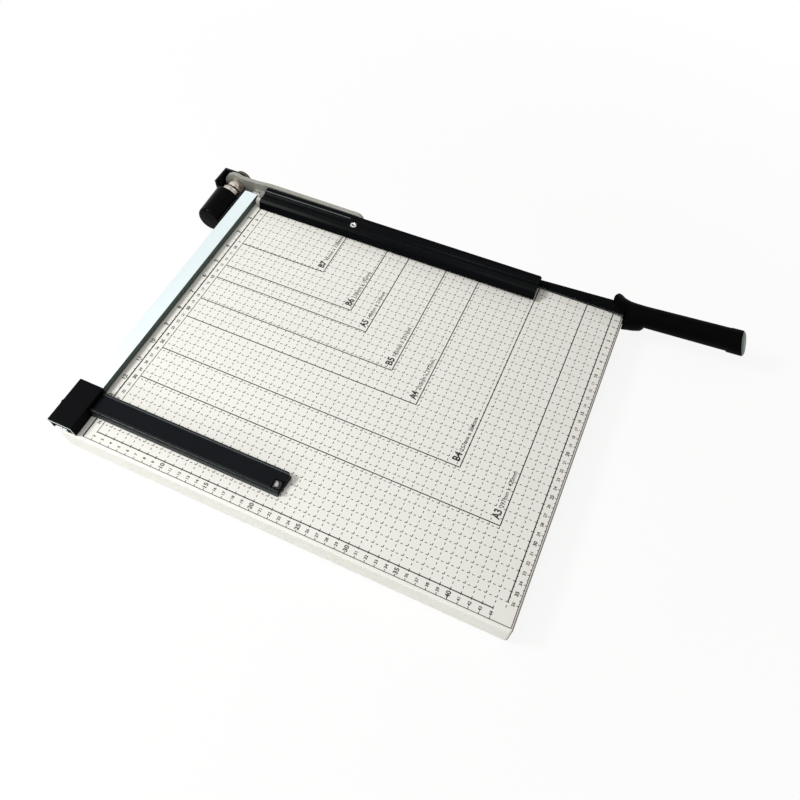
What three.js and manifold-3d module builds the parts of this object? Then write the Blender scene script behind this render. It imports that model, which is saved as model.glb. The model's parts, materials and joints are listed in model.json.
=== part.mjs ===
// Paper trimmer: folded steel table, fixed blade, sprung cutting arm with a clamp, and a sliding back stop.
// Millimetres. X runs along the cut from the rail's guide face, Y = 0 is the plane of the cut,
// Z = 0 is the table's top. The finished group is moved so that its origin is under its middle.
import * as THREE from 'three';
import { mergeVertices } from 'three/addons/utils/BufferGeometryUtils.js';
import Module from 'manifold-3d';

const wasm = await Module();
wasm.setup();

// Clearances
const fit_gap = 0.3;
const hole_gap = 0.3;
const cut_overrun = 5;
const weld_distance = 0.0005;

// Table
const table_right = 462.5;
const table_left = 20;
const table_depth = 376;
const table_skirt = 31;
const table_sheet = 1.5;
const table_bend_radius = 2.5;
const table_corner_radius = 3.5;
const table_lip = 15;

// Feet
const foot_radius = 9;
const foot_height = 4;
const foot_inset = 12;
const foot_recess_radius = 5;
const foot_recess_depth = 2.2;
const foot_screw_radius = 2;
const foot_screw_head_radius = 3.6;
const foot_screw_head_height = 1.6;
const foot_screw_length = 7;

// Stiffeners under the table
const stiffener_width = 30;
const stiffener_height = 12;
const stiffener_sheet = 1.2;
const stiffener_near_share = 0.3;
const stiffener_far_share = 0.7;

// Fixed blade
const fixed_blade_thickness = 3;
const fixed_blade_height = 24;
const fixed_blade_left = 14;
const fixed_blade_right = 461;
const fixed_screw_count = 4;
const fixed_screw_radius = 2;
const fixed_screw_head_radius = 3.8;
const fixed_screw_head_height = 1.8;
const fixed_screw_inset = 24;
const fixed_screw_drop = 13;
const fixed_screw_length = 9;

// Guide rail
const rail_width = 17.5;
const rail_top = 9;
const rail_far_end = 11.5;
const rail_near_inset = 2;
const rail_wall = 2;
const rail_groove_depth = 2.4;
const rail_groove_low = 3.2;
const rail_groove_high = 6;
const rail_screw_count = 2;
const rail_screw_radius = 1.5;
const rail_screw_head_radius = 3;
const rail_screw_head_height = 1.8;
const rail_screw_end_inset = 40;

// Back stop: head
const head_length = 50.1;
const head_top = 13.5;
const head_left_wall = 5.7;
const head_right_wall = 3.7;
const head_bottom = 0.5;
const head_edge = 1.2;
const head_tongue_length = 8;
const head_pocket_length = 28;
const head_pocket_depth = 2.4;
const head_pocket_low = 2;
const head_pocket_high = 7.6;

// Back stop: leaf spring
const leaf_thickness = 0.6;
const leaf_height = 4.6;
const leaf_steps = 10;

// Back stop: arm
const stop_arm_end = 221;
const stop_arm_width = 24.5;
const stop_arm_inset = 0.7;
const stop_arm_top = 9.5;
const stop_arm_bottom = 0.6;
const stop_arm_wall = 2;
const stop_arm_recess = 1;
const stop_arm_ridge = 1.6;
const stop_arm_tip = 16;
const stop_arm_root = 20;
const stop_arm_corner = 2;
const window_length = 11;
const window_width = 10;
const window_from_far = 10.6;
const window_depth = 3;
const stop_screw_radius = 1.4;
const stop_screw_head_radius = 2.7;
const stop_screw_head_height = 1.4;
const stop_screw_length = 14;
const stop_screw_spacing = 14;

// Pivot
const pivot_x = -38;
const pivot_z = -1;
const pivot_radius = 6;
const running_gap = 0.1;
const bolt_head_radius = 11;
const bolt_head_height = 4.7;
const bolt_dome_share = 0.85;
const bolt_socket_radius = 4;
const bolt_socket_depth = 2.6;
const pivot_nut_radius = 10;
const pivot_nut_height = 7;
const bolt_end_length = 2;
const spacer_radius = 11;
const cup_radius = 13.1;
const cup_length = 12.7;
const cup_flange = 1.4;
const cap_wall = 1.8;
const cap_length = 43;
const cap_dome = 3.6;
const cap_face_share = 0.5;
const cap_shoulder_share = 0.88;
const cap_overlap = 3.4;
const spring_wire_radius = 1.3;
const spring_curls = 7;
const spring_mean_radius = 9.2;

// Pivot bracket
const bracket_sheet = 2.5;
const bracket_left_clearance = 2.8;
const bracket_wall_top = 11;
const bracket_far_low_top = 0;
const bracket_far_slope_start = -42;
const bracket_far_slope_end = -24;
const bracket_ear_top = 3;
const bracket_ear_radius = 10;
const bracket_bottom = 28.5;
const bracket_flange_sheet = 2;
const bracket_flange_length = 52;
const bracket_flange_top = 7;
const bracket_ear_offset = 14;
const bracket_screw_radius = 2.5;
const bracket_screw_head_radius = 4.4;
const bracket_screw_head_height = 1.8;
const bracket_screw_drop = 22;
const bracket_screw_length = 8;
const bracket_nut_height = 3.4;
const arm_stop_radius = 3;
const arm_stop_x = -27;

// Arm root
const root_radius = 17;
const root_top = 14;
const root_neck_x = -10;
const root_neck_top = 11.6;
const root_shoulder_x = 12;
const root_thickness = 5.2;
const root_boss_thickness = 9.4;
const root_boss_radius = 11.5;
const root_end = 138;
const root_end_bevel = 8;
const root_tail_bottom = 12;
const root_tail_start = 30;
const root_flange_top = 5;
const root_flange_thickness = 2.4;

// Arm bar
const bar_thickness = 4.5;
const bar_start = 71;
const bar_top_left = 8.7;
const bar_top_middle = 6.4;
const bar_top_right = 12.6;
const bar_middle_x = 362;
const bar_right_x = 446;
const bar_bottom_left = 13;
const bar_bottom_middle = 11;
const bar_bottom_right = 4;
const tang_height = 9;
const tang_end = 545;
const arm_bolt_count = 3;
const arm_bolt_radius = 3;
const arm_bolt_head_radius = 5.2;
const arm_bolt_head_height = 3;
const arm_bolt_inset = 12;
const arm_bolt_height = 1.5;

// Moving blade
const blade_thickness = 2.2;
const blade_top_drop = 3;
const blade_start = -8;
const blade_end = 441;
const blade_left_drop = 20;
const blade_middle_drop = 27;
const blade_right_drop = 17;
const blade_bevel = 3.5;
const blade_tip_radius = 5;
const blade_edge_steps = 16;
const rivet_count = 4;
const rivet_radius = 1.8;
const rivet_head_radius = 3.4;
const rivet_head_height = 1.4;
const dome_share = 0.6;
const rivet_inset = 34;
const rivet_drop = 7.5;

// Handle
const grip_start = 446;
const grip_end = 585;
const grip_neck = 476;
const grip_flare = 572;
const grip_slope = 0.088;
const grip_axis_rise = 1;
const grip_half_width = 10.9;
const grip_half_height = 12.4;
const grip_end_half_width = 12.3;
const grip_end_half_height = 13.9;
const grip_rim = 0.9;
const grip_end_slant = 0.43;
const grip_sides = 28;
const guard_x = 457.5;
const guard_radius = 19.3;
const guard_length = 25;
const guard_slant = 0.54;
const guard_place_shares = [-0.17, -0.08, 0, 0.14, 0.4, 0.7, 0.84];
const guard_upper_shares = [0.86, 0.94, 0.91, 0.77, 0.67, 0.64, 0.64];
const guard_lower_shares = [0.92, 1.06, 1.09, 1.1, 1.08, 0.96, 0.8];
const guard_slot_drop = 7;
const handle_pin_radius = 2.5;
const handle_pin_x = 510;
const cap_plug_depth = 9;
const cap_plug_share = 0.55;
const end_cap_bulge = 2.2;
const end_cap_inset = 0.8;
const end_cap_edge_share = 0.93;
const end_cap_face_share = 0.6;

// Clamp
const clamp_left = 9.5;
const clamp_right = 363;
const clamp_rear_gap = 0.3;
const clamp_width = 24.8;
const clamp_rest_angle = 0.5;
const clamp_top = 14.2;
const clamp_lip = 0.6;
const clamp_wall = 1.5;
const clamp_rib_top = 11.4;
const clamp_groove_top = 10.4;
const clamp_fold_shares = [1, 0.985, 0.87, 0.7, 0.54, 0.44, 0.28, 0.08];
const clamp_end_bevel = 2.4;
const clamp_pad_thickness = 0.6;
const clamp_pad_width = 2;
const clamp_screw_x = 132.5;
const clamp_pin_x = 330;
const clamp_screw_from_rear = 11.5;
const clamp_boss_radius = 5.6;
const clamp_boss_floor = 1.2;
const clamp_bore_radius = 3.9;
const clamp_screw_radius = 1.5;
const clamp_screw_head_radius = 3.2;
const clamp_screw_head_height = 1.4;
const clamp_spring_height = 4.8;
const clamp_washer_radius = 5.2;
const clamp_washer_height = 0.6;
const clamp_washer_sink = 0.3;
const carrier_sheet = 1.2;
const carrier_width = 12;
const carrier_reach = 16;
const carrier_low = 0.9;
const carrier_leg = 5.2;
const carrier_window_gap = 0.6;
const carrier_window_depth = 1.2;
const small_wire_radius = 0.35;
const small_curls = 2;
const tab_sheet = 1.4;
const tab_width = 4.2;
const tab_gap = 0.3;

// Colours
const cream_enamel = new THREE.MeshStandardMaterial({ color: 0xe9e8e3, roughness: 0.45, metalness: 0 });
const black_enamel = new THREE.MeshStandardMaterial({ color: 0x26282b, roughness: 0.4, metalness: 0 });
const black_plastic = new THREE.MeshStandardMaterial({ color: 0x1b1c1e, roughness: 0.5, metalness: 0 });
const grey_casting = new THREE.MeshStandardMaterial({ color: 0x9b9792, roughness: 0.5, metalness: 0.8 });
const bright_zinc = new THREE.MeshStandardMaterial({ color: 0xcfd0cf, roughness: 0.25, metalness: 1 });
const blade_steel = new THREE.MeshStandardMaterial({ color: 0xb9bcbf, roughness: 0.3, metalness: 1 });
const rail_aluminium = new THREE.MeshStandardMaterial({ color: 0xd5d9da, roughness: 0.35, metalness: 1 });
const green_enamel = new THREE.MeshStandardMaterial({ color: 0x28332e, roughness: 0.45, metalness: 0 });
const pale_plastic = new THREE.MeshStandardMaterial({ color: 0xb4bdb0, roughness: 0.5, metalness: 0 });
const clear_plastic = new THREE.MeshStandardMaterial({ color: 0x9aa0a4, roughness: 0.1, metalness: 0 });
const grey_rubber = new THREE.MeshStandardMaterial({ color: 0x3a3a3a, roughness: 0.8, metalness: 0 });

const trimmer = new THREE.Group();

// Geometry tools

function signedVolume(positions, triangles) {
  const a = new THREE.Vector3();
  const b = new THREE.Vector3();
  const c = new THREE.Vector3();
  let volume = 0;
  for (let i = 0; i < triangles.length; i += 3) {
    a.fromArray(positions, triangles[i] * 3);
    b.fromArray(positions, triangles[i + 1] * 3);
    c.fromArray(positions, triangles[i + 2] * 3);
    volume += a.dot(b.cross(c));
  }
  return volume;
}

// A closed three.js geometry as a solid, with its shared points joined and its faces outward.
function solid(geometry) {
  const bare = geometry.clone();
  bare.deleteAttribute('normal');
  bare.deleteAttribute('uv');
  const merged = mergeVertices(bare, weld_distance);
  const positions = Float32Array.from(merged.attributes.position.array);
  const kept = [];
  for (let i = 0; i < merged.index.count; i += 3) {
    const [a, b, c] = [0, 1, 2].map((corner) => merged.index.getX(i + corner));
    if (a !== b && b !== c && a !== c) kept.push(a, b, c);
  }
  if (signedVolume(positions, kept) < 0) {
    for (let i = 0; i < kept.length; i += 3) [kept[i], kept[i + 1]] = [kept[i + 1], kept[i]];
  }
  return new wasm.Manifold(new wasm.Mesh({
    numProp: 3, vertProperties: positions, triVerts: Uint32Array.from(kept),
  }));
}

function joined(solids) {
  return solids.reduce((whole, next) => whole.add(next));
}

function cutFrom(whole, cutters) {
  return cutters.reduce((left, cutter) => left.subtract(cutter), whole);
}

function addPiece(name, shape, material) {
  const { vertProperties, triVerts } = shape.getMesh();
  const geometry = new THREE.BufferGeometry();
  geometry.setAttribute('position', new THREE.BufferAttribute(Float32Array.from(vertProperties), 3));
  geometry.setIndex(Array.from(triVerts));
  geometry.computeVertexNormals();
  const piece = new THREE.Mesh(geometry, material);
  piece.name = name;
  trimmer.add(piece);
}

// Copies of one piece, each a mesh of its own: NAME_1, NAME_2 and so on.
function addCopies(name, shapes, material) {
  shapes.forEach((shape, i) => addPiece(`${name}_${i + 1}`, shape, material));
}

function outline(points) {
  return new THREE.Shape(points.map(([a, b]) => new THREE.Vector2(a, b)));
}

// A flat outline in X and Z, from one Y to another.
function prismY(shape, low, high) {
  const geometry = new THREE.ExtrudeGeometry(shape, { depth: high - low, bevelEnabled: false });
  return solid(geometry.rotateX(Math.PI / 2).translate(0, high, 0));
}

// A flat outline in Y and Z, from one X to another.
function prismX(shape, low, high) {
  const geometry = new THREE.ExtrudeGeometry(shape, { depth: high - low, bevelEnabled: false });
  const turn = new THREE.Matrix4().makeBasis(
    new THREE.Vector3(0, 1, 0), new THREE.Vector3(0, 0, 1), new THREE.Vector3(1, 0, 0),
  );
  return solid(geometry.applyMatrix4(turn).translate(low, 0, 0));
}

// A flat outline in X and Y, from one Z to another.
function prismZ(shape, low, high) {
  const geometry = new THREE.ExtrudeGeometry(shape, { depth: high - low, bevelEnabled: false });
  return solid(geometry.translate(0, 0, low));
}

function block(x_low, x_high, y_low, y_high, z_low, z_high) {
  const geometry = new THREE.BoxGeometry(x_high - x_low, y_high - y_low, z_high - z_low);
  return solid(geometry.translate((x_low + x_high) / 2, (y_low + y_high) / 2, (z_low + z_high) / 2));
}

// A turned piece: profile points are [radius, distance along the axis], closed at the axis.
function turned(profile, sides = 24) {
  const points = profile.map(([radius, along]) => new THREE.Vector2(radius, along));
  return new THREE.LatheGeometry(points, sides);
}

function turnedY(profile, x, z, sides) {
  return solid(turned(profile, sides).translate(x, 0, z));
}

function turnedZ(profile, x, y, sides) {
  return solid(turned(profile, sides).rotateX(Math.PI / 2).translate(x, y, 0));
}

function turnedX(profile, y, z, sides) {
  return solid(turned(profile, sides).rotateZ(-Math.PI / 2).translate(0, y, z));
}

function rod(radius, low, high) {
  return [[0, low], [radius, low], [radius, high], [0, high]];
}

function roundedRectangle(x_low, x_high, y_low, y_high, radius) {
  const shape = new THREE.Shape();
  shape.moveTo(x_low + radius, y_low);
  shape.lineTo(x_high - radius, y_low);
  shape.absarc(x_high - radius, y_low + radius, radius, -Math.PI / 2, 0, false);
  shape.lineTo(x_high, y_high - radius);
  shape.absarc(x_high - radius, y_high - radius, radius, 0, Math.PI / 2, false);
  shape.lineTo(x_low + radius, y_high);
  shape.absarc(x_low + radius, y_high - radius, radius, Math.PI / 2, Math.PI, false);
  shape.lineTo(x_low, y_low + radius);
  shape.absarc(x_low + radius, y_low + radius, radius, Math.PI, Math.PI * 1.5, false);
  return shape;
}

// A closed skin over rings of points, each ring with the same count, capped at both ends.
function lofted(rings) {
  const sides = rings[0].length;
  const positions = [];
  const triangles = [];
  const middle = (ring) => ring.reduce((sum, p) => sum.add(p), new THREE.Vector3()).divideScalar(sides);
  rings.forEach((ring) => ring.forEach((point) => positions.push(...point)));
  for (let r = 0; r + 1 < rings.length; r += 1) {
    for (let s = 0; s < sides; s += 1) {
      const a = r * sides + s;
      const b = r * sides + (s + 1) % sides;
      triangles.push(a, b, b + sides, a, b + sides, a + sides);
    }
  }
  const start = positions.length / 3;
  positions.push(...middle(rings[0]), ...middle(rings.at(-1)));
  const last = (rings.length - 1) * sides;
  for (let s = 0; s < sides; s += 1) {
    const next = (s + 1) % sides;
    triangles.push(start, next, s, start + 1, last + s, last + next);
  }
  const geometry = new THREE.BufferGeometry();
  geometry.setAttribute('position', new THREE.Float32BufferAttribute(positions, 3));
  geometry.setIndex(triangles);
  return solid(geometry);
}

// A coil spring of five-sided wire, about a vertical axis through the origin, from low to high.
function coil(mean_radius, wire_radius, curls, low, high) {
  const steps_per_curl = 8;
  const wire_sides = 5;
  const rise = (high - low - 2 * wire_radius) / curls;
  const rings = [];
  const centres = [];
  for (let step = 0; step <= curls * steps_per_curl; step += 1) {
    const turn = (step / steps_per_curl) * 2 * Math.PI;
    const centre_z = low + wire_radius + (rise * step) / steps_per_curl;
    centres.push(new THREE.Vector3(mean_radius * Math.cos(turn), mean_radius * Math.sin(turn), centre_z));
    rings.push(Array.from({ length: wire_sides }, (_, side) => {
      const angle = (side / wire_sides) * 2 * Math.PI;
      const reach = mean_radius + wire_radius * Math.cos(angle);
      return new THREE.Vector3(
        reach * Math.cos(turn), reach * Math.sin(turn), centre_z + wire_radius * Math.sin(angle),
      );
    }));
  }
  const half_curl = steps_per_curl / 2;
  const spacing = centres.flatMap((a, i) => centres.slice(i + half_curl).map((b) => a.distanceTo(b)));
  console.log(`least gap between curls ${(Math.min(...spacing) - 2 * wire_radius).toFixed(2)} mm`);
  return lofted(rings);
}

function evenly(count, low, high) {
  return Array.from({ length: count }, (_, i) => low + ((high - low) * i) / (count - 1));
}

// Places worked out from the driving dimensions

const table_x_low = -table_left;
const table_far = -fixed_blade_thickness - fit_gap;
const table_underside = -table_sheet;
const rail_near_end = table_depth - rail_near_inset;
const skirt_bottom = -table_skirt;
const arm_near = fit_gap;
const bar_far = arm_near + bar_thickness;
const blade_far = arm_near + blade_thickness;
const root_boss_far = arm_near + root_boss_thickness;
const bracket_far_inner = root_boss_far + fit_gap;
const bracket_far_outer = bracket_far_inner + bracket_sheet;
const ear_near = -bracket_ear_offset;
const ear_far = ear_near + bracket_sheet;
const bracket_left_inner = pivot_x - root_radius - bracket_left_clearance;
const bracket_left_outer = bracket_left_inner - bracket_sheet;
const bracket_right_outer = table_x_low - fit_gap;
const bracket_right_inner = bracket_right_outer - bracket_flange_sheet;
const cup_far = ear_near - fit_gap;
const cup_near = cup_far - cup_length;
const cap_far = cup_near + cap_overlap;
const cap_near = cap_far - cap_length;
const cap_radius = cup_radius + fit_gap + cap_wall;
const nut_near = cap_near + cap_wall + cap_dome + bolt_end_length + fit_gap;
const nut_far = nut_near + pivot_nut_height;

// Table and feet

function makeTable() {
  const steps = 3;
  const rings = [];
  const ringAt = (inset, z, corner) => {
    const flat = roundedRectangle(
      table_x_low + inset, table_right - inset, -table_depth + inset, table_far - inset, corner,
    );
    return flat.getPoints(4).slice(0, -1).map((p) => new THREE.Vector3(p.x, p.y, z));
  };
  rings.push(ringAt(0, skirt_bottom, table_corner_radius));
  for (let i = 0; i <= steps; i += 1) {
    const angle = (i / steps) * (Math.PI / 2);
    const inset = table_bend_radius * (1 - Math.cos(angle));
    const z = -table_bend_radius * (1 - Math.sin(angle));
    rings.push(ringAt(inset, z, table_corner_radius - inset));
  }
  const outside = lofted(rings);
  // The far edge stays square under the fixed blade's flank.
  const square_edge = block(
    table_x_low + table_corner_radius, table_right - table_corner_radius,
    table_far - table_bend_radius, table_far, skirt_bottom, 0,
  );
  const inner_low = skirt_bottom + table_sheet;
  const inside = prismZ(roundedRectangle(
    table_x_low + table_sheet, table_right - table_sheet,
    -table_depth + table_sheet, table_far - table_sheet, table_corner_radius - table_sheet,
  ), inner_low, table_underside);
  const opening = block(
    table_x_low + table_lip, table_right - table_lip,
    -table_depth + table_lip, table_far - table_lip, skirt_bottom - cut_overrun, inner_low + cut_overrun,
  );
  const screw_holes = footPlaces().map(([x, y]) => turnedZ(
    rod(foot_screw_radius + hole_gap, skirt_bottom - cut_overrun, inner_low + cut_overrun), x, y, 12,
  ));
  const blade_holes = fixedScrewPlaces().map((x) => turnedY(
    rod(fixed_screw_radius + hole_gap, table_far - table_sheet - cut_overrun, table_far + cut_overrun),
    x, -fixed_screw_drop, 12,
  ));
  const rail_holes = railScrewPlaces().map((y) => turnedZ(
    rod(rail_screw_radius + hole_gap, table_underside - cut_overrun, cut_overrun), -rail_width / 2, y, 12,
  ));
  const bracket_holes = bracketScrewPlaces().map((y) => turnedX(
    rod(bracket_screw_radius + hole_gap, table_x_low - cut_overrun, table_x_low + cut_overrun),
    y, -bracket_screw_drop, 12,
  ));
  addPiece('base_table', cutFrom(outside.add(square_edge),
    [inside, opening, ...screw_holes, ...blade_holes, ...rail_holes, ...bracket_holes]), cream_enamel);
}

function footPlaces() {
  return [
    [table_x_low + foot_inset, -table_depth + foot_inset],
    [table_right - foot_inset, -table_depth + foot_inset],
    [table_x_low + foot_inset, table_far - foot_inset],
    [table_right - foot_inset, table_far - foot_inset],
  ];
}

function makeFeet() {
  const names = ['foot_near_left', 'foot_near_right', 'foot_far_left', 'foot_far_right'];
  const top = skirt_bottom - fit_gap;
  const bottom = top - foot_height;
  const screws = [];
  footPlaces().forEach(([x, y], i) => {
    const body = turnedZ([
      [0, top], [foot_radius, top], [foot_radius, bottom + foot_height / 4],
      [foot_radius - foot_height / 4, bottom], [0, bottom],
    ], x, y, 24);
    const recess = turnedZ(
      rod(foot_recess_radius, bottom - cut_overrun, bottom + foot_recess_depth), x, y, 16,
    );
    const hole = turnedZ(
      rod(foot_screw_radius + hole_gap, bottom - cut_overrun, top + cut_overrun), x, y, 12,
    );
    addPiece(names[i], cutFrom(body, [recess, hole]), grey_rubber);
    const seat = bottom + foot_recess_depth - fit_gap;
    screws.push(turnedZ([
      [0, seat + foot_screw_length], [foot_screw_radius, seat + foot_screw_length], [foot_screw_radius, seat],
      [foot_screw_head_radius, seat], [foot_screw_head_radius, seat - foot_screw_head_height / 2],
      [foot_screw_head_radius / 2, seat - foot_screw_head_height], [0, seat - foot_screw_head_height],
    ], x, y, 12));
  });
  addCopies('foot_screw', screws, bright_zinc);
}

function makeStiffeners() {
  const far_inner = table_far - table_sheet - fit_gap;
  const near_inner = -table_depth + table_sheet + fit_gap;
  const x_low = table_x_low + table_sheet + fit_gap;
  const x_high = table_right - table_sheet - fit_gap;
  const top = table_underside - fit_gap;
  const low = top - stiffener_height;
  const channel = (share) => {
    const y = near_inner + (far_inner - near_inner) * share;
    const y_low = y - stiffener_width / 2;
    const y_high = y + stiffener_width / 2;
    return block(x_low, x_high, y_low, y_high, low, top).subtract(block(
      x_low - cut_overrun, x_high + cut_overrun, y_low + stiffener_sheet, y_high - stiffener_sheet,
      low - cut_overrun, top - stiffener_sheet,
    ));
  };
  addPiece('stiffener_near', channel(stiffener_near_share), bright_zinc);
  addPiece('stiffener_far', channel(stiffener_far_share), bright_zinc);
}

// Fixed blade

function fixedScrewPlaces() {
  return evenly(
    fixed_screw_count, -fixed_blade_left + fixed_screw_inset, fixed_blade_right - fixed_screw_inset,
  );
}

function makeFixedBlade() {
  const blade = block(
    -fixed_blade_left, fixed_blade_right, -fixed_blade_thickness, 0, -fixed_blade_height, 0,
  );
  const holes = fixedScrewPlaces().map((x) => turnedY([
    [0, cut_overrun], [fixed_screw_head_radius + hole_gap, cut_overrun],
    [fixed_screw_head_radius + hole_gap, 0], [fixed_screw_radius + hole_gap, -fixed_screw_head_height],
    [fixed_screw_radius + hole_gap, -fixed_blade_thickness - cut_overrun],
    [0, -fixed_blade_thickness - cut_overrun],
  ], x, -fixed_screw_drop, 16));
  addPiece('fixed_blade', cutFrom(blade, holes), blade_steel);

  const screw_top = -fit_gap;
  const screws = fixedScrewPlaces().map((x) => turnedY([
    [0, screw_top], [fixed_screw_head_radius, screw_top],
    [fixed_screw_radius, screw_top - fixed_screw_head_height],
    [fixed_screw_radius, screw_top - fixed_screw_length], [0, screw_top - fixed_screw_length],
  ], x, -fixed_screw_drop, 16));
  addCopies('fixed_blade_screw', screws, bright_zinc);
}

// Guide rail

function railScrewPlaces() {
  return evenly(
    rail_screw_count, -rail_near_end + rail_screw_end_inset, -rail_far_end - rail_screw_end_inset,
  );
}

function makeRail() {
  const bar = block(-rail_width, 0, -rail_near_end, -rail_far_end, fit_gap, rail_top);
  const hollow = block(
    -rail_width + rail_groove_depth + rail_wall, -rail_wall, -rail_near_end - cut_overrun,
    -rail_far_end + cut_overrun, fit_gap + rail_wall, rail_top - rail_wall,
  );
  const groove = block(
    -rail_width - cut_overrun, -rail_width + rail_groove_depth, -rail_near_end - cut_overrun,
    -rail_far_end + cut_overrun, rail_groove_low, rail_groove_high,
  );
  const holes = railScrewPlaces().map((y) => turnedZ(
    rod(rail_screw_radius + hole_gap, -cut_overrun, (fit_gap + rail_top) / 2), -rail_width / 2, y, 12,
  ));
  addPiece('guide_rail', cutFrom(bar, [hollow, groove, ...holes]), rail_aluminium);

  const seat = table_underside - fit_gap;
  const tip = rail_groove_high;
  const screws = railScrewPlaces().map((y) => turnedZ([
    [0, tip], [rail_screw_radius, tip], [rail_screw_radius, seat],
    [rail_screw_head_radius, seat], [rail_screw_head_radius, seat - rail_screw_head_height / 2],
    [rail_screw_head_radius / 2, seat - rail_screw_head_height], [0, seat - rail_screw_head_height],
  ], -rail_width / 2, y, 12));
  addCopies('guide_rail_screw', screws, bright_zinc);
}

// Back stop

const head_near = -rail_near_end - fit_gap;
const head_far = head_near + head_length;
const head_middle = (head_near + head_far) / 2;
const stop_arm_far = head_far - stop_arm_inset;
const stop_arm_near = stop_arm_far - stop_arm_width;
const stop_arm_middle = (stop_arm_far + stop_arm_near) / 2;
const stop_arm_start = fit_gap + head_right_wall + fit_gap;
const stop_screw_height = (stop_arm_top + stop_arm_bottom) / 2;

function stopScrewPlaces() {
  return [stop_arm_middle - stop_screw_spacing / 2, stop_arm_middle + stop_screw_spacing / 2];
}

function makeStopHead() {
  const left = -rail_width - fit_gap - head_left_wall;
  const right = fit_gap + head_right_wall;
  const section = outline([
    [left, head_bottom], [right, head_bottom], [right, head_top - head_edge], [right - head_edge, head_top],
    [left + head_edge, head_top], [left, head_top - head_edge],
  ]);
  const saddle = prismY(section, head_near, head_far).subtract(block(
    -rail_width - fit_gap, fit_gap, head_near - cut_overrun, head_far + cut_overrun,
    head_bottom - cut_overrun, rail_top + fit_gap,
  ));
  const tongue = (y_low) => block(
    -rail_width - fit_gap - head_edge, -rail_width + rail_groove_depth - fit_gap,
    y_low, y_low + head_tongue_length, rail_groove_low + fit_gap, rail_groove_high - fit_gap,
  );
  const pocket = block(
    -rail_width - fit_gap - head_pocket_depth, -rail_width, head_middle - head_pocket_length / 2,
    head_middle + head_pocket_length / 2, head_pocket_low, head_pocket_high,
  );
  const screw_holes = stopScrewPlaces().map((y) => turnedX([
    [0, -cut_overrun], [stop_screw_head_radius + hole_gap, -cut_overrun],
    [stop_screw_head_radius + hole_gap, fit_gap + stop_screw_head_height + fit_gap],
    [stop_screw_radius + hole_gap, fit_gap + stop_screw_head_height + fit_gap],
    [stop_screw_radius + hole_gap, right + cut_overrun], [0, right + cut_overrun],
  ], y, stop_screw_height, 16));
  const whole = joined([saddle, tongue(head_near), tongue(head_far - head_tongue_length)]);
  addPiece('stop_head', cutFrom(whole, [pocket, ...screw_holes]), black_plastic);
}

// A bowed strip whose ends sit in the head's pocket and whose middle bears on the rail.
function makeStopSpring() {
  const half = head_pocket_length / 2 - fit_gap;
  const bow = head_pocket_depth - leaf_thickness - fit_gap;
  const back = -rail_width - fit_gap - head_pocket_depth + fit_gap;
  const z_middle = (head_pocket_low + head_pocket_high) / 2;
  const along = evenly(leaf_steps + 1, -half, half);
  const lift = (y) => bow * (1 - (y / half) ** 2);
  const front_side = along.map((y) => [back + leaf_thickness + lift(y), head_middle + y]);
  const back_side = along.map((y) => [back + lift(y), head_middle + y]).reverse();
  addPiece('stop_spring', prismZ(
    outline([...front_side, ...back_side]), z_middle - leaf_height / 2, z_middle + leaf_height / 2,
  ), blade_steel);
}

function makeStopArm() {
  const far = stop_arm_far;
  const near = stop_arm_near;
  const low = stop_arm_bottom;
  const floor = stop_arm_top - stop_arm_recess;
  const section = outline([
    [near, low], [far, low], [far, stop_arm_top], [far - stop_arm_ridge, stop_arm_top],
    [far - stop_arm_ridge - stop_arm_recess, floor], [near + stop_arm_ridge + 2 * stop_arm_recess, floor],
    [near + stop_arm_ridge + stop_arm_recess, stop_arm_top], [near + stop_arm_recess, stop_arm_top],
    [near + stop_arm_recess / 2, floor],
  ]);
  const bar = prismX(section, stop_arm_start, stop_arm_end);
  const underside = block(
    stop_arm_start + stop_arm_root, stop_arm_end - stop_arm_tip, near + stop_arm_wall, far - stop_arm_wall,
    low - cut_overrun, floor - stop_arm_wall,
  );
  const plan = outline([
    [stop_arm_start, near - cut_overrun], [stop_arm_end, near - cut_overrun],
    [stop_arm_end, far - stop_arm_corner], [stop_arm_end - stop_arm_corner, far],
    [stop_arm_start, far],
  ]);
  const window_far = far - window_from_far;
  const notch = block(
    stop_arm_end - window_length, stop_arm_end + cut_overrun, window_far - window_width, window_far,
    floor - window_depth, stop_arm_top + cut_overrun,
  );
  const screw_holes = stopScrewPlaces().map((y) => turnedX(
    rod(stop_screw_radius + hole_gap, stop_arm_start - cut_overrun, stop_arm_start + stop_screw_length),
    y, stop_screw_height, 12,
  ));
  const arm = bar.intersect(prismZ(plan, low - cut_overrun, stop_arm_top + cut_overrun));
  addPiece('stop_arm', cutFrom(arm, [underside, notch, ...screw_holes]), black_plastic);

  addPiece('stop_window', block(
    stop_arm_end - window_length + fit_gap, stop_arm_end, window_far - window_width + fit_gap,
    window_far - fit_gap, floor - window_depth + fit_gap, floor,
  ), clear_plastic);

  const seat = fit_gap + stop_screw_head_height;
  const screws = stopScrewPlaces().map((y) => turnedX([
    [0, fit_gap], [stop_screw_head_radius, fit_gap], [stop_screw_head_radius, seat],
    [stop_screw_radius, seat], [stop_screw_radius, seat + stop_screw_length], [0, seat + stop_screw_length],
  ], y, stop_screw_height, 12));
  addCopies('stop_arm_screw', screws, bright_zinc);
}

// Pivot bracket, fixed to the table's left skirt

function bracketScrewPlaces() {
  const flange_near = ear_near - bracket_flange_length;
  return [ear_near - bracket_flange_length / 2, flange_near + 2 * bracket_screw_head_radius];
}

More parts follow.
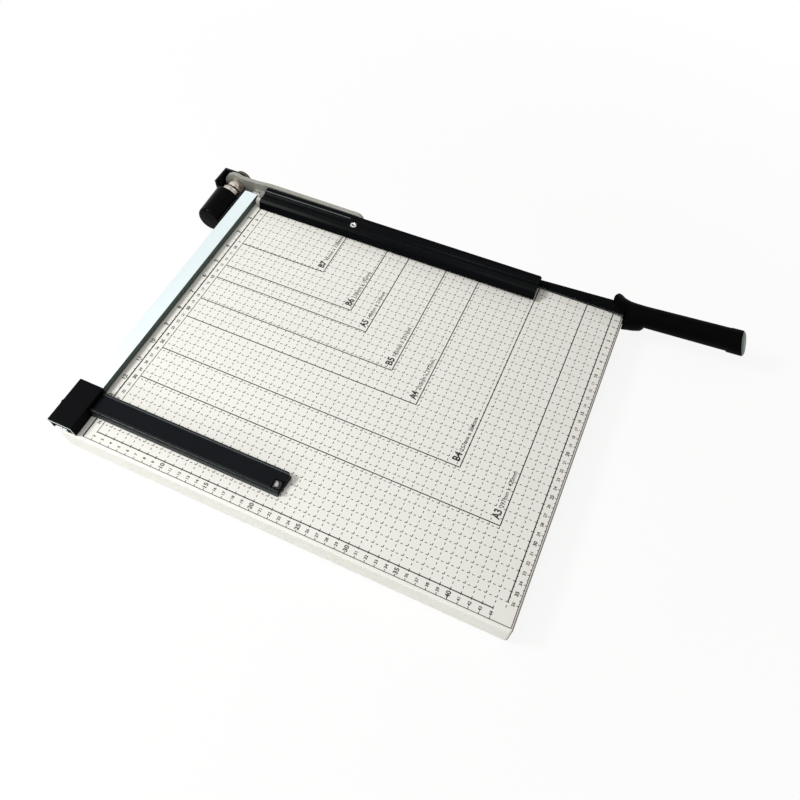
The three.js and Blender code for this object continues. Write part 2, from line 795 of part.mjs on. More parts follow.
function makeBracket() {
  const bottom = -bracket_bottom;
  const floor_top = bottom + bracket_sheet;
  const left = bracket_left_outer;
  const right = bracket_right_outer;
  const flange_near = ear_near - bracket_flange_length;
  const floor = block(left, right, ear_near, bracket_far_outer, bottom, floor_top);
  const far_wall = prismY(outline([
    [left, bottom], [bracket_right_inner, bottom], [bracket_right_inner, bracket_far_low_top],
    [bracket_far_slope_end, bracket_far_low_top], [bracket_far_slope_start, bracket_wall_top],
    [left, bracket_wall_top],
  ]), bracket_far_inner, bracket_far_outer);
  const left_wall = block(left, bracket_left_inner, ear_near, bracket_far_outer, bottom, bracket_wall_top);
  const ear = block(left, right, ear_near, ear_far, bottom, bracket_ear_top);
  const ear_round = turnedY(rod(bracket_ear_radius, ear_near, ear_far), pivot_x, pivot_z, 32);
  const flange = block(bracket_right_inner, right, flange_near, ear_far, bottom, bracket_flange_top);
  const whole = joined([floor, far_wall, left_wall, ear, ear_round, flange]);
  const bolt_hole = turnedY(
    rod(pivot_radius + running_gap, ear_near - cut_overrun, bracket_far_outer + cut_overrun),
    pivot_x, pivot_z, 32,
  );
  const stop_hole = turnedY(
    rod(arm_stop_radius / 2 + hole_gap, bracket_far_inner - cut_overrun, bracket_far_outer + cut_overrun),
    arm_stop_x, arm_stop_z, 12,
  );
  const screw_holes = bracketScrewPlaces().map((y) => turnedX(
    rod(bracket_screw_radius + hole_gap, bracket_right_inner - cut_overrun, right + cut_overrun),
    y, -bracket_screw_drop, 12,
  ));
  addPiece('pivot_bracket', cutFrom(whole, [bolt_hole, stop_hole, ...screw_holes]), green_enamel);

  const seat = bracket_right_inner - fit_gap;
  const screws = bracketScrewPlaces().map((y) => turnedX([
    [0, seat - bracket_screw_head_height], [bracket_screw_head_radius / 2, seat - bracket_screw_head_height],
    [bracket_screw_head_radius, seat - bracket_screw_head_height / 2], [bracket_screw_head_radius, seat],
    [bracket_screw_radius, seat], [bracket_screw_radius, seat + bracket_screw_length],
    [0, seat + bracket_screw_length],
  ], y, -bracket_screw_drop, 16));
  addCopies('bracket_screw', screws, bright_zinc);

  const nut_start = table_x_low + table_sheet + fit_gap;
  const nut_end = nut_start + bracket_nut_height;
  const nuts = bracketScrewPlaces().map((y) => turnedX(
    rod(bracket_screw_head_radius, nut_start, nut_end), y, -bracket_screw_drop, 6,
  ).subtract(turnedX(
    rod(bracket_screw_radius + hole_gap, nut_start - cut_overrun, nut_end + cut_overrun),
    y, -bracket_screw_drop, 12,
  )));
  addCopies('bracket_nut', nuts, bright_zinc);

  // The stud that the arm root rests on, just below the root's lower edge.
  const stud = turnedY([
    [0, arm_near], [arm_stop_radius, arm_near], [arm_stop_radius, bracket_far_inner - fit_gap],
    [arm_stop_radius / 2, bracket_far_inner - fit_gap], [arm_stop_radius / 2, bracket_far_outer + fit_gap],
    [0, bracket_far_outer + fit_gap],
  ], arm_stop_x, arm_stop_z, 16);
  addPiece('arm_stop', stud, bright_zinc);
}

function makePivot() {
  const head_near_face = bracket_far_outer + fit_gap;
  const head_far_face = head_near_face + bolt_head_height;
  const bolt_near = nut_near - bolt_end_length;
  const bolt = turnedY([
    [0, bolt_near], [pivot_radius, bolt_near], [pivot_radius, head_near_face],
    [bolt_head_radius, head_near_face], [bolt_head_radius, head_near_face + bolt_head_height / 2],
    [bolt_head_radius * bolt_dome_share, head_far_face], [0, head_far_face],
  ], pivot_x, pivot_z, 32);
  const socket = turnedY(
    rod(bolt_socket_radius, head_far_face - bolt_socket_depth, head_far_face + cut_overrun),
    pivot_x, pivot_z, 6,
  );
  addPiece('pivot_bolt', bolt.subtract(socket), grey_casting);

  const ring = (outer, low, high, sides) => turnedY(rod(outer, low, high), pivot_x, pivot_z, sides).subtract(
    turnedY(rod(pivot_radius + running_gap, low - cut_overrun, high + cut_overrun), pivot_x, pivot_z, 32),
  );
  addPiece('pivot_spacer', ring(spacer_radius, ear_far + fit_gap, arm_near - fit_gap, 32), bright_zinc);
  addPiece('pivot_nut', ring(pivot_nut_radius, nut_near, nut_far, 6), bright_zinc);

  const cup = turnedY(rod(cup_radius, cup_near, cup_far), pivot_x, pivot_z, 32);
  const cup_bore = turnedY(rod(pivot_radius + running_gap, cup_near - cut_overrun, cup_far + cut_overrun),
    pivot_x, pivot_z, 32);
  const cup_hollow = turnedY(
    rod(cup_radius - cup_flange, cup_near - cut_overrun, cup_far - cup_flange), pivot_x, pivot_z, 32,
  );
  addPiece('spring_cup', cutFrom(cup, [cup_bore, cup_hollow]), bright_zinc);

  const spring = coil(spring_mean_radius, spring_wire_radius, spring_curls, nut_far + fit_gap,
    cup_far - cup_flange - fit_gap);
  addPiece('pivot_spring', spring.rotate([-90, 0, 0]).translate([pivot_x, 0, pivot_z]), blade_steel);

  const cap_profile = (radius, near) => [
    [0, near], [radius * cap_face_share, near], [radius * cap_shoulder_share, near + cap_dome / 3],
    [radius, near + cap_dome], [radius, cap_far], [0, cap_far],
  ];
  const cap_outside = turnedY(cap_profile(cap_radius, cap_near), pivot_x, pivot_z, 40);
  const cap_inside = turnedY(
    cap_profile(cap_radius - cap_wall, cap_near + cap_wall), pivot_x, pivot_z, 40,
  );
  const cap_mouth = turnedY(
    rod(cap_radius - cap_wall, cap_far - cap_overlap, cap_far + cut_overrun), pivot_x, pivot_z, 40,
  );
  addPiece('spring_cap', cutFrom(cap_outside, [cap_inside, cap_mouth]), black_plastic);
}

// Cutting arm

const root_bottom_slope = (root_radius + pivot_z * -1 - root_tail_bottom) / (root_end - pivot_x);
const rootBottomAt = (x) => pivot_z - root_radius + (x - pivot_x) * root_bottom_slope;
const arm_stop_z = rootBottomAt(arm_stop_x) - arm_stop_radius - fit_gap;

function rootOutline() {
  const shape = new THREE.Shape();
  const neck_angle = Math.asin((root_neck_top - pivot_z) / root_radius);
  shape.moveTo(pivot_x + root_radius * Math.cos(neck_angle), root_neck_top);
  shape.absarc(pivot_x, pivot_z, root_radius, neck_angle, Math.PI * 1.5, false);
  shape.lineTo(root_end, rootBottomAt(root_end));
  shape.lineTo(root_end, root_top - root_end_bevel);
  shape.lineTo(root_end - root_end_bevel / 2, root_top - root_end_bevel / 4);
  shape.lineTo(root_end - root_end_bevel, root_top);
  shape.lineTo(root_shoulder_x, root_top);
  shape.lineTo(root_neck_x, root_neck_top);
  return shape;
}

function armBoltPlaces() {
  return evenly(arm_bolt_count, bar_start + arm_bolt_inset, root_end - 2 * arm_bolt_inset);
}

function bladeEdgeDrop(x) {
  const t = (x - blade_start) / (blade_end - blade_start);
  const straight = blade_left_drop + (blade_right_drop - blade_left_drop) * t;
  const belly = blade_middle_drop - (blade_left_drop + blade_right_drop) / 2;
  return straight + belly * 4 * t * (1 - t);
}

function rivetPlaces() {
  return evenly(rivet_count, root_end + rivet_inset, blade_end - rivet_inset);
}

function makeArmRoot() {
  const far_flange = arm_near + root_thickness;
  const plate = prismY(rootOutline(), arm_near, far_flange);
  const boss = turnedY(rod(root_boss_radius, far_flange - fit_gap, root_boss_far), pivot_x, pivot_z, 40);
  const flange = prismY(outline([
    [root_tail_start, rootBottomAt(root_tail_start)], [root_end, rootBottomAt(root_end)],
    [root_end, root_flange_top], [root_tail_start, root_flange_top],
  ]), far_flange - root_flange_thickness, far_flange + root_flange_thickness);
  const bar_rebate = block(
    bar_start - fit_gap, root_end + cut_overrun, arm_near - cut_overrun, bar_far + fit_gap,
    -table_skirt, bar_top_left + fit_gap,
  );
  const blade_rebate = block(
    blade_start - fit_gap, root_end + cut_overrun, arm_near - cut_overrun, blade_far + fit_gap,
    -table_skirt, -blade_top_drop + fit_gap,
  );
  const bore = turnedY(
    rod(pivot_radius + running_gap, arm_near - cut_overrun, root_boss_far + cut_overrun),
    pivot_x, pivot_z, 32,
  );
  const bolt_holes = armBoltPlaces().map((x) => turnedY(
    rod(arm_bolt_radius + hole_gap, arm_near - cut_overrun, root_boss_far + cut_overrun),
    x, arm_bolt_height, 16,
  ));
  addPiece('arm_root', cutFrom(joined([plate, boss, flange]),
    [bar_rebate, blade_rebate, bore, ...bolt_holes]), grey_casting);

  const seat = far_flange + root_flange_thickness + fit_gap;
  const bolts = armBoltPlaces().map((x) => turnedY([
    [0, arm_near + fit_gap], [arm_bolt_radius, arm_near + fit_gap], [arm_bolt_radius, seat],
    [arm_bolt_head_radius, seat], [arm_bolt_head_radius, seat + arm_bolt_head_height],
    [0, seat + arm_bolt_head_height],
  ], x, arm_bolt_height, 12));
  addCopies('arm_bolt', bolts, bright_zinc);
}

const gripAxisZ = (x) => grip_axis_rise + (x - grip_start) * grip_slope;

function makeArmBar() {
  const shape = new THREE.Shape();
  shape.moveTo(bar_start, -bar_bottom_left);
  shape.quadraticCurveTo(bar_middle_x, -bar_bottom_middle, bar_right_x, -bar_bottom_right);
  shape.lineTo(tang_end, gripAxisZ(tang_end) - tang_height / 2);
  shape.lineTo(tang_end, gripAxisZ(tang_end) + tang_height / 2);
  shape.lineTo(bar_right_x + tang_height, gripAxisZ(bar_right_x + tang_height) + tang_height / 2);
  shape.lineTo(bar_right_x, bar_top_right);
  shape.lineTo(bar_middle_x, bar_top_middle);
  shape.lineTo(bar_start, bar_top_left);
  const blade_rebate = block(
    bar_start - cut_overrun, blade_end + fit_gap, arm_near - cut_overrun, blade_far + fit_gap,
    -table_skirt, -blade_top_drop + fit_gap,
  );
  const bolt_holes = armBoltPlaces().map((x) => turnedY(
    rod(arm_bolt_radius + hole_gap, arm_near - cut_overrun, bar_far + cut_overrun), x, arm_bolt_height, 16,
  ));
  const rivet_holes = rivetPlaces().map((x) => turnedY(
    rod(rivet_radius + hole_gap, arm_near - cut_overrun, bar_far + cut_overrun), x, -rivet_drop, 12,
  ));
  const pin_hole = turnedY(
    rod(handle_pin_radius + hole_gap, arm_near - cut_overrun, bar_far + cut_overrun),
    handle_pin_x, gripAxisZ(handle_pin_x), 16,
  );
  const carrier_seats = carrierPlaces().map((x) => raised(block(
    x - carrier_width / 2 - fit_gap, x + carrier_width / 2 + fit_gap, arm_near - cut_overrun,
    arm_near + carrier_sheet + fit_gap, carrier_top - carrier_leg - fit_gap, clamp_top,
  )));
  addPiece('arm_bar', cutFrom(prismY(shape, arm_near, bar_far),
    [blade_rebate, pin_hole, ...bolt_holes, ...rivet_holes, ...carrier_seats]), black_enamel);
}

function makeMovingBlade() {
  const edge = evenly(blade_edge_steps + 1, blade_start, blade_end);
  const shape = new THREE.Shape();
  shape.moveTo(blade_start, -blade_top_drop);
  edge.forEach((x) => shape.lineTo(x, -bladeEdgeDrop(x)));
  shape.lineTo(blade_end, -blade_top_drop - blade_tip_radius);
  shape.lineTo(blade_end - blade_tip_radius, -blade_top_drop);
  const blank = prismY(shape, arm_near, blade_far);
  // The ground bevel is on the far face, so the flat face meets the fixed blade.
  const bevel_rings = edge.map((x) => {
    const low = -bladeEdgeDrop(x);
    const land = arm_near + blade_thickness / 5;
    const reach = x === blade_start ? -cut_overrun : x === blade_end ? cut_overrun : 0;
    return [
      [land, low - cut_overrun], [blade_far + cut_overrun, low - cut_overrun],
      [blade_far + cut_overrun, low + blade_bevel], [blade_far, low + blade_bevel], [land, low],
    ].map(([y, z]) => new THREE.Vector3(x + reach, y, z));
  });
  const rivet_holes = rivetPlaces().map((x) => turnedY(
    rod(rivet_radius + hole_gap, arm_near - cut_overrun, bar_far + cut_overrun), x, -rivet_drop, 12,
  ));
  addPiece('moving_blade', cutFrom(blank, [lofted(bevel_rings), ...rivet_holes]), blade_steel);

  const seat = bar_far + fit_gap;
  const rivets = rivetPlaces().map((x) => turnedY([
    [0, arm_near], [rivet_radius, arm_near], [rivet_radius, seat], [rivet_head_radius, seat],
    [rivet_head_radius * dome_share, seat + rivet_head_height], [0, seat + rivet_head_height],
  ], x, -rivet_drop, 12));
  addCopies('blade_rivet', rivets, bright_zinc);
}

// Handle: a slanted guard that is fuller below, a neck, a grip that swells to its end, a slanted end face.
// Lobe makes a ring that much larger at its lowest point, fading to nothing at its highest.

function gripRing(x, half_width, half_height, slant, lobe = 0) {
  const y_axis = arm_near + bar_thickness / 2;
  const z_axis = gripAxisZ(x);
  return Array.from({ length: grip_sides }, (_, side) => {
    const angle = (side / grip_sides) * 2 * Math.PI;
    const grow = (lobe * (1 - Math.sin(angle))) / 2;
    const z = (half_height + grow) * Math.sin(angle);
    return new THREE.Vector3(x - slant * z, y_axis + (half_width + grow) * Math.cos(angle), z_axis + z);
  });
}

function makeHandle() {
  const rim_start = grip_flare + grip_rim;
  const rings = [
    ...guard_place_shares.map((share, i) => {
      const upper = guard_radius * guard_upper_shares[i];
      const width = Math.max(grip_half_width, upper - (grip_half_height - grip_half_width));
      return gripRing(guard_x + guard_length * share, width, upper, guard_slant,
        guard_radius * guard_lower_shares[i] - upper);
    }),
    gripRing(guard_x + guard_length, grip_half_width, grip_half_height, guard_slant / 2),
    gripRing(
      (grip_neck + grip_flare) / 2, grip_half_width + grip_rim / 3, grip_half_height + grip_rim / 3, 0,
    ),
    gripRing(grip_flare, grip_end_half_width - grip_rim, grip_end_half_height - grip_rim, grip_end_slant / 2),
    gripRing(rim_start, grip_end_half_width, grip_end_half_height, grip_end_slant / 2),
    gripRing(grip_end, grip_end_half_width, grip_end_half_height, grip_end_slant),
  ];
  // The table's corner passes close beside the guard's near side.
  const table_clearance = block(
    grip_start - 2 * guard_radius, table_right + 4 * fit_gap, -table_depth, arm_near, -table_skirt * 2,
    table_skirt * 2,
  );
  const slot_low = outline([
    [grip_start - 2 * guard_radius, -bar_bottom_right - fit_gap - guard_slot_drop],
    [bar_right_x, -bar_bottom_right - fit_gap * 2],
    [tang_end + fit_gap, gripAxisZ(tang_end) - tang_height / 2 - fit_gap],
    [tang_end + fit_gap, gripAxisZ(tang_end) + tang_height / 2 + fit_gap],
    [bar_right_x + tang_height, gripAxisZ(bar_right_x + tang_height) + tang_height / 2 + fit_gap * 2],
    [bar_right_x, bar_top_right + fit_gap * 2], [grip_start - 2 * guard_radius, bar_top_right + fit_gap * 2],
  ]);
  const slot = prismY(slot_low, arm_near - fit_gap, bar_far + fit_gap);
  const pin_near = arm_near - grip_half_width / 2;
  const pin_hole = turnedY(
    rod(handle_pin_radius + hole_gap, pin_near - fit_gap, 2 * guard_radius), handle_pin_x,
    gripAxisZ(handle_pin_x), 16,
  );
  const plug_hole = lofted([
    gripRing(grip_end - cap_plug_depth, grip_end_half_width * cap_plug_share + fit_gap,
      grip_end_half_height * cap_plug_share + fit_gap, grip_end_slant),
    gripRing(grip_end + cut_overrun, grip_end_half_width * cap_plug_share + fit_gap,
      grip_end_half_height * cap_plug_share + fit_gap, grip_end_slant),
  ]);
  addPiece('handle_grip', cutFrom(
    lofted(rings), [table_clearance, slot, pin_hole, plug_hole],
  ), black_plastic);

  const y_axis = arm_near + bar_thickness / 2;
  addPiece('handle_pin', turnedY(
    rod(handle_pin_radius, pin_near, y_axis + grip_half_width - grip_rim), handle_pin_x,
    gripAxisZ(handle_pin_x), 16,
  ), bright_zinc);

  const face = grip_end + fit_gap;
  const plug_width = grip_end_half_width * cap_plug_share;
  const plug_height = grip_end_half_height * cap_plug_share;
  const end_width = grip_end_half_width - end_cap_inset;
  const end_height = grip_end_half_height - end_cap_inset;
  addPiece('handle_end_cap', lofted([
    gripRing(grip_end - cap_plug_depth + fit_gap, plug_width, plug_height, grip_end_slant),
    gripRing(face, plug_width, plug_height, grip_end_slant),
    gripRing(face + fit_gap / 3, end_width, end_height, grip_end_slant),
    gripRing(face + end_cap_bulge / 2, end_width * end_cap_edge_share, end_height * end_cap_edge_share,
      grip_end_slant),
    gripRing(face + end_cap_bulge, end_width * end_cap_face_share, end_height * end_cap_face_share,
      grip_end_slant),
  ]), pale_plastic);
}

// Clamp bar: a folded section with a near face, a rib, a groove and a raised back. The clamp and its
// carriers are drawn level, as they lie when the arm is fully down, and turned to the rest angle.

const clamp_rear = -clamp_rear_gap;
const clamp_folds = clamp_fold_shares.map((share) => clamp_rear - clamp_width * share);
const clamp_screw_y = clamp_rear - clamp_screw_from_rear;
const carrier_top = carrier_low + carrier_sheet;
const boss_bottom = carrier_top + fit_gap;

function raised(shape) {
  const at_pivot = shape.translate([-pivot_x, 0, -pivot_z]);
  return at_pivot.rotate([0, -clamp_rest_angle, 0]).translate([pivot_x, 0, pivot_z]);
}

function carrierPlaces() {
  return [clamp_screw_x, clamp_pin_x];
}

function clampHeights() {
  return [clamp_lip, clamp_lip + clamp_wall, clamp_groove_top - clamp_wall, clamp_rib_top,
    clamp_groove_top, clamp_groove_top, clamp_rib_top, clamp_top];
}

function clampSection() {
  const heights = clampHeights();
  return [...clamp_folds.map((y, i) => [y, heights[i]]), [clamp_rear, clamp_top], [clamp_rear, clamp_lip]];
}

// The underside follows the outside one wall lower, with its near face one wall further in.
function clampInside() {
  const heights = clampHeights();
  return [
    [clamp_folds[0] + clamp_wall, clamp_lip - cut_overrun],
    [clamp_folds[1] + clamp_wall, heights[1] - clamp_wall / 2],
    [clamp_folds[2] + clamp_wall / 2, heights[2] - clamp_wall],
    [clamp_folds[3], heights[3] - clamp_wall],
    [clamp_folds[6] + clamp_wall / 2, heights[5] - clamp_wall],
    [clamp_folds[7] - clamp_wall / 2, clamp_top - clamp_wall],
    [clamp_rear - clamp_wall, clamp_top - clamp_wall],
    [clamp_rear - clamp_wall, clamp_lip - cut_overrun],
  ];
}

function makeClampBar() {
  const outside = prismX(outline(clampSection()), clamp_left, clamp_right);
  const inside = prismX(outline(clampInside()), clamp_left - cut_overrun, clamp_right + cut_overrun);
  const shell = outside.subtract(inside);
  const bosses = carrierPlaces().map((x) => turnedZ(
    rod(clamp_boss_radius, boss_bottom, clamp_groove_top - fit_gap), x, clamp_screw_y, 24,
  ));
  const screw_well = turnedZ([
    [0, clamp_top + cut_overrun], [clamp_bore_radius, clamp_top + cut_overrun],
    [clamp_bore_radius, boss_bottom + clamp_boss_floor],
    [clamp_screw_radius + hole_gap, boss_bottom + clamp_boss_floor],
    [clamp_screw_radius + hole_gap, -cut_overrun], [0, -cut_overrun],
  ], clamp_screw_x, clamp_screw_y, 24);
  const washer_seat = turnedZ(
    rod(clamp_washer_radius + hole_gap, clamp_groove_top - clamp_washer_sink, clamp_top + cut_overrun),
    clamp_screw_x, clamp_screw_y, 24,
  );
  const pin_well = turnedZ([
    [0, clamp_groove_top - clamp_wall], [clamp_screw_radius + hole_gap, clamp_groove_top - clamp_wall],
    [clamp_screw_radius + hole_gap, -cut_overrun], [0, -cut_overrun],
  ], clamp_pin_x, clamp_screw_y, 16);
  const carrier_windows = carrierPlaces().map((x) => block(
    x - carrier_width / 2 - carrier_window_gap, x + carrier_width / 2 + carrier_window_gap,
    clamp_rear - clamp_wall - carrier_window_depth, cut_overrun, clamp_lip - cut_overrun,
    carrier_top + carrier_window_gap,
  ));
  const end_corner = (x, outward) => prismY(outline([
    [x - outward * clamp_end_bevel, clamp_top + fit_gap], [x + outward * cut_overrun, clamp_top + fit_gap],
    [x + outward * cut_overrun, clamp_top - clamp_end_bevel - cut_overrun], [x, clamp_top - clamp_end_bevel],
  ]), -table_depth, cut_overrun);
  addPiece('clamp_bar', raised(cutFrom(joined([shell, ...bosses]),
    [screw_well, washer_seat, pin_well, end_corner(clamp_right, 1), end_corner(clamp_left, -1),
      ...carrier_windows])), black_enamel);
}

function makeClampFittings() {
  const carriers = carrierPlaces().map((x) => {
    const plate = block(
      x - carrier_width / 2, x + carrier_width / 2, clamp_rear - carrier_reach, arm_near + carrier_sheet,
      carrier_low, carrier_top,
    );
    const leg = block(
      x - carrier_width / 2, x + carrier_width / 2, arm_near, arm_near + carrier_sheet,
      carrier_top - carrier_leg, carrier_top,
    );
    const hole = turnedZ(rod(clamp_screw_radius + hole_gap, -cut_overrun, carrier_top + cut_overrun),
      x, clamp_screw_y, 16);
    return raised(plate.add(leg).subtract(hole));
  });
  addCopies('clamp_carrier', carriers, blade_steel);

  const head_low = boss_bottom + clamp_boss_floor + clamp_spring_height + 2 * fit_gap;
  const head_top = head_low + clamp_screw_head_height;
  const screw = turnedZ([
    [0, carrier_low], [clamp_screw_radius, carrier_low], [clamp_screw_radius, head_low],
    [clamp_screw_head_radius, head_low], [clamp_screw_head_radius, head_low + clamp_screw_head_height / 2],
    [clamp_screw_head_radius * dome_share, head_top], [0, head_top],
  ], clamp_screw_x, clamp_screw_y, 20);
  const slot = block(
    clamp_screw_x - clamp_screw_head_radius, clamp_screw_x + clamp_screw_head_radius,
    clamp_screw_y - fit_gap, clamp_screw_y + fit_gap,
    head_low + clamp_screw_head_height / 2, head_top + cut_overrun,
  );
  addPiece('clamp_screw', raised(screw.subtract(slot)), black_enamel);

  const spring_mean = (clamp_bore_radius + clamp_screw_radius) / 2;
  addPiece('clamp_spring', raised(coil(spring_mean, small_wire_radius, small_curls,
    boss_bottom + clamp_boss_floor + fit_gap, head_low - fit_gap)
    .translate([clamp_screw_x, clamp_screw_y, 0])), blade_steel);

  const washer_low = clamp_groove_top - clamp_washer_sink;
  addPiece('clamp_washer', raised(turnedZ(
    rod(clamp_washer_radius, washer_low + fit_gap, washer_low + fit_gap + clamp_washer_height),
    clamp_screw_x, clamp_screw_y, 28,
  ).subtract(turnedZ(
    rod(clamp_bore_radius, -cut_overrun, clamp_top + cut_overrun), clamp_screw_x, clamp_screw_y, 28,
  ))), bright_zinc);

  const pin_top = clamp_groove_top - clamp_wall - fit_gap;
  addPiece('clamp_guide_pin', raised(turnedZ(
    rod(clamp_screw_radius, carrier_low, pin_top), clamp_pin_x, clamp_screw_y, 16,
  )), bright_zinc);

  const pad_near = clamp_folds[1] + clamp_wall + fit_gap;
  addPiece('clamp_pad', raised(block(
    clamp_left + clamp_end_bevel, clamp_right - clamp_end_bevel,
    pad_near, pad_near + clamp_pad_width, fit_gap, clamp_lip + clamp_pad_thickness,
  )), grey_rubber);
}

// A light metal tab that follows the clamp's section at its left end.
function makeClampTab() {
  const x_high = clamp_left - tab_gap;
  const path = clampSection().slice(1, 7);
  const upper = path.map(([y, z]) => [y, z]);
  const lower = path.map(([y, z], i) => [y + (i < 3 ? tab_sheet : 0), z - tab_sheet]).reverse();
  addPiece('clamp_end_tab', raised(prismX(outline([...upper, ...lower]), x_high - tab_width, x_high)),
    grey_casting);
}

makeTable();
makeFeet();
makeStiffeners();
makeFixedBlade();
makeRail();
makeStopHead();
makeStopSpring();
makeStopArm();
makeBracket();
makePivot();
makeArmRoot();
makeArmBar();
makeMovingBlade();
makeHandle();
makeClampBar();
makeClampFittings();
makeClampTab();

// The origin is under the middle of the whole trimmer, on the surface it stands on.
const bounds = new THREE.Box3().setFromObject(trimmer);
const centre = bounds.getCenter(new THREE.Vector3());
trimmer.position.set(-centre.x, -centre.y, -bounds.min.z);
trimmer.updateMatrixWorld(true);

export default trimmer;
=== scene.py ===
import json
import math

import bmesh
import bpy
from mathutils import Matrix, Vector


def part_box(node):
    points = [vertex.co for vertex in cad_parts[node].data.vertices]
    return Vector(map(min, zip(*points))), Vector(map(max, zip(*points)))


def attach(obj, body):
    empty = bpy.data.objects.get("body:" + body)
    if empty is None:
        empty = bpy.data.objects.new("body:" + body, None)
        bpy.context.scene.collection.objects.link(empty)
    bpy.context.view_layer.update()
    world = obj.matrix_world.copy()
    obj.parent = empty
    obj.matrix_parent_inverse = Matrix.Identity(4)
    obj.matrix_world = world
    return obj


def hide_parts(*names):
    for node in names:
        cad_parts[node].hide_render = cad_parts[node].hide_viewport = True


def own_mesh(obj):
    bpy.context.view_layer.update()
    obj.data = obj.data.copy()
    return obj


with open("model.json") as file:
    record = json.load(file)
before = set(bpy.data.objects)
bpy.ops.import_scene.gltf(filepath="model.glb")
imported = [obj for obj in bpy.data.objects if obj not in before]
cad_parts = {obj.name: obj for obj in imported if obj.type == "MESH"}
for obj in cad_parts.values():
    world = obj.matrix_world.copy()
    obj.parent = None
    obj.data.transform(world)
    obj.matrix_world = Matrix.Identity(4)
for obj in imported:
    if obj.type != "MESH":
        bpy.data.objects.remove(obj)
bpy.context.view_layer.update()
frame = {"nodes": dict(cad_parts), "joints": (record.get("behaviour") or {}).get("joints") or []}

# The trimmer is drawn in millimetres from its own corner: X from the rail's guide face along the cut,
# Y from the plane of the cut, negative towards the user, Z from the table's top.
MM = 0.001
ORIGIN = Vector((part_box("guide_rail")[1].x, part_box("fixed_blade")[1].y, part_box("base_table")[1].z))
TO_FRAME = Matrix.Translation(ORIGIN) @ Matrix.Scale(MM, 4)
TO_TRIMMER = TO_FRAME.inverted()
HINGE = next(joint for joint in frame["joints"] if joint["name"] == "arm_hinge")
PIVOT = TO_TRIMMER @ Vector(HINGE["pos_m"])
AXLE = PIVOT.x, PIVOT.z
# Turns what is drawn with a level arm to the place where the arm rests.
TO_REST = (Matrix.Translation(PIVOT) @ Matrix.Rotation(math.radians(HINGE["range_deg"][0]), 4, "Y")
           @ Matrix.Translation(-PIVOT))
# Clearance between neighbouring pieces, and the radii of the pivot bolt's shank and of the bores round it.
GAP = 0.3
SHANK, BORE = 6, 6.1
# Points closer than MERGE are one point, edges shorter than SLIVER are taken out, and places closer than
# SAME count as one place. Edges that turn by more than CREASE degrees are drawn sharp.
MERGE, SLIVER, SAME = 1e-4, 0.001, 0.01
CREASE = 35


def extent(node):
    """A node's lowest and highest corners, in the trimmer's millimetres."""
    low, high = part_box(node)
    return TO_TRIMMER @ low, TO_TRIMMER @ high


# Materials


def colour(code):
    """An sRGB hex colour as linear red, green, blue and alpha."""
    parts = [int(code[i:i + 2], 16) / 255 for i in (1, 3, 5)]
    return [p / 12.92 if p <= 0.04045 else ((p + 0.055) / 1.055) ** 2.4 for p in parts] + [1]


def add(material, kind, inputs=None, **settings):
    """Adds a shader node, named without its ShaderNode. Inputs are values, or nodes' outputs to link."""
    node = material.node_tree.nodes.new("ShaderNode" + kind)
    for name, value in settings.items():
        setattr(node, name, value)
    for name, value in (inputs or {}).items():
        if isinstance(value, bpy.types.NodeSocket):
            material.node_tree.links.new(value, node.inputs[name])
        else:
            node.inputs[name].default_value = value
    return node


def finish_named(name):
    """An empty node material and its output node."""
    material = bpy.data.materials.new(name)
    material.use_nodes = True
    material.node_tree.nodes.clear()
    return material, add(material, "OutputMaterial")


def coated(name, slot, tones, roughness, grain, bump, drift=35, speckle=0.3, stretch=(1, 1, 1), sheen=0.5,
           **shader):
    """A finish whose tone and roughness drift over some millimetres, with a surface grain in millimetres.

    slot is not used. The tones are two hex colours, roughness two values, bump the grain's
    height in millimetres, speckle the share of the tone that follows the grain, and sheen the shader's
    specular level. Further words are inputs of the shader."""
    material, output = finish_named(name)
    place = add(material, "TexCoord").outputs["Object"]
    drawn = add(material, "Mapping", {"Vector": place, "Scale": stretch}).outputs["Vector"]
    slow = add(material, "TexNoise",
               {"Vector": drawn, "Scale": 1 / (drift * MM), "Detail": 4.0, "Roughness": 0.6})
    fine = add(material, "TexNoise",
               {"Vector": drawn, "Scale": 1 / (grain * MM), "Detail": 3.0, "Roughness": 0.55})
    blend = add(material, "Mix", {"Factor": speckle, "A": slow.outputs["Fac"], "B": fine.outputs["Fac"]})
    middling = {"From Min": 0.3, "From Max": 0.7}
    spread = add(material, "MapRange", {"Value": blend.outputs["Result"], **middling})
    tone = add(material, "Mix",
               {"Factor": spread.outputs["Result"], "A": colour(tones[0]), "B": colour(tones[1])},
               data_type="RGBA")
    dull = add(material, "MapRange",
               {"Value": slow.outputs["Fac"], **middling, "To Min": roughness[0], "To Max": roughness[1]})
    height = add(material, "Bump", {"Height": fine.outputs["Fac"], "Strength": 1.0, "Distance": bump * MM})
    surface = add(material, "BsdfPrincipled",
                  {"Base Color": tone.outputs[2], "Roughness": dull.outputs["Result"],
                   "Normal": height.outputs["Normal"], "Specular IOR Level": sheen, **shader})
    material.node_tree.links.new(surface.outputs["BSDF"], output.inputs["Surface"])
    return material


# Baked enamel on steel: pale cream, satin, with the faint orange peel of a sprayed coat.
cream_enamel = coated(
    "cream_baked_enamel", "cream_enamel", ("#e9e8e1", "#e5e4dc"), (0.4, 0.48), 1.6, 0.006, speckle=0.15)
# The same enamel darkened to brown-grey: painted shade along the table's right bend and near right corner.
painted_shade_enamel = coated(
    "painted_shade_enamel_bend", "cream_enamel", ("#a3998e", "#8c8277"), (0.45, 0.55), 1.2, 0.006, drift=8)
# Screen-printing ink: flat near-black, a touch uneven.
print_ink = coated(
    "printing_ink", "black_enamel", ("#151412", "#1f1d1a"), (0.6, 0.7), 0.5, 0.002, drift=6)
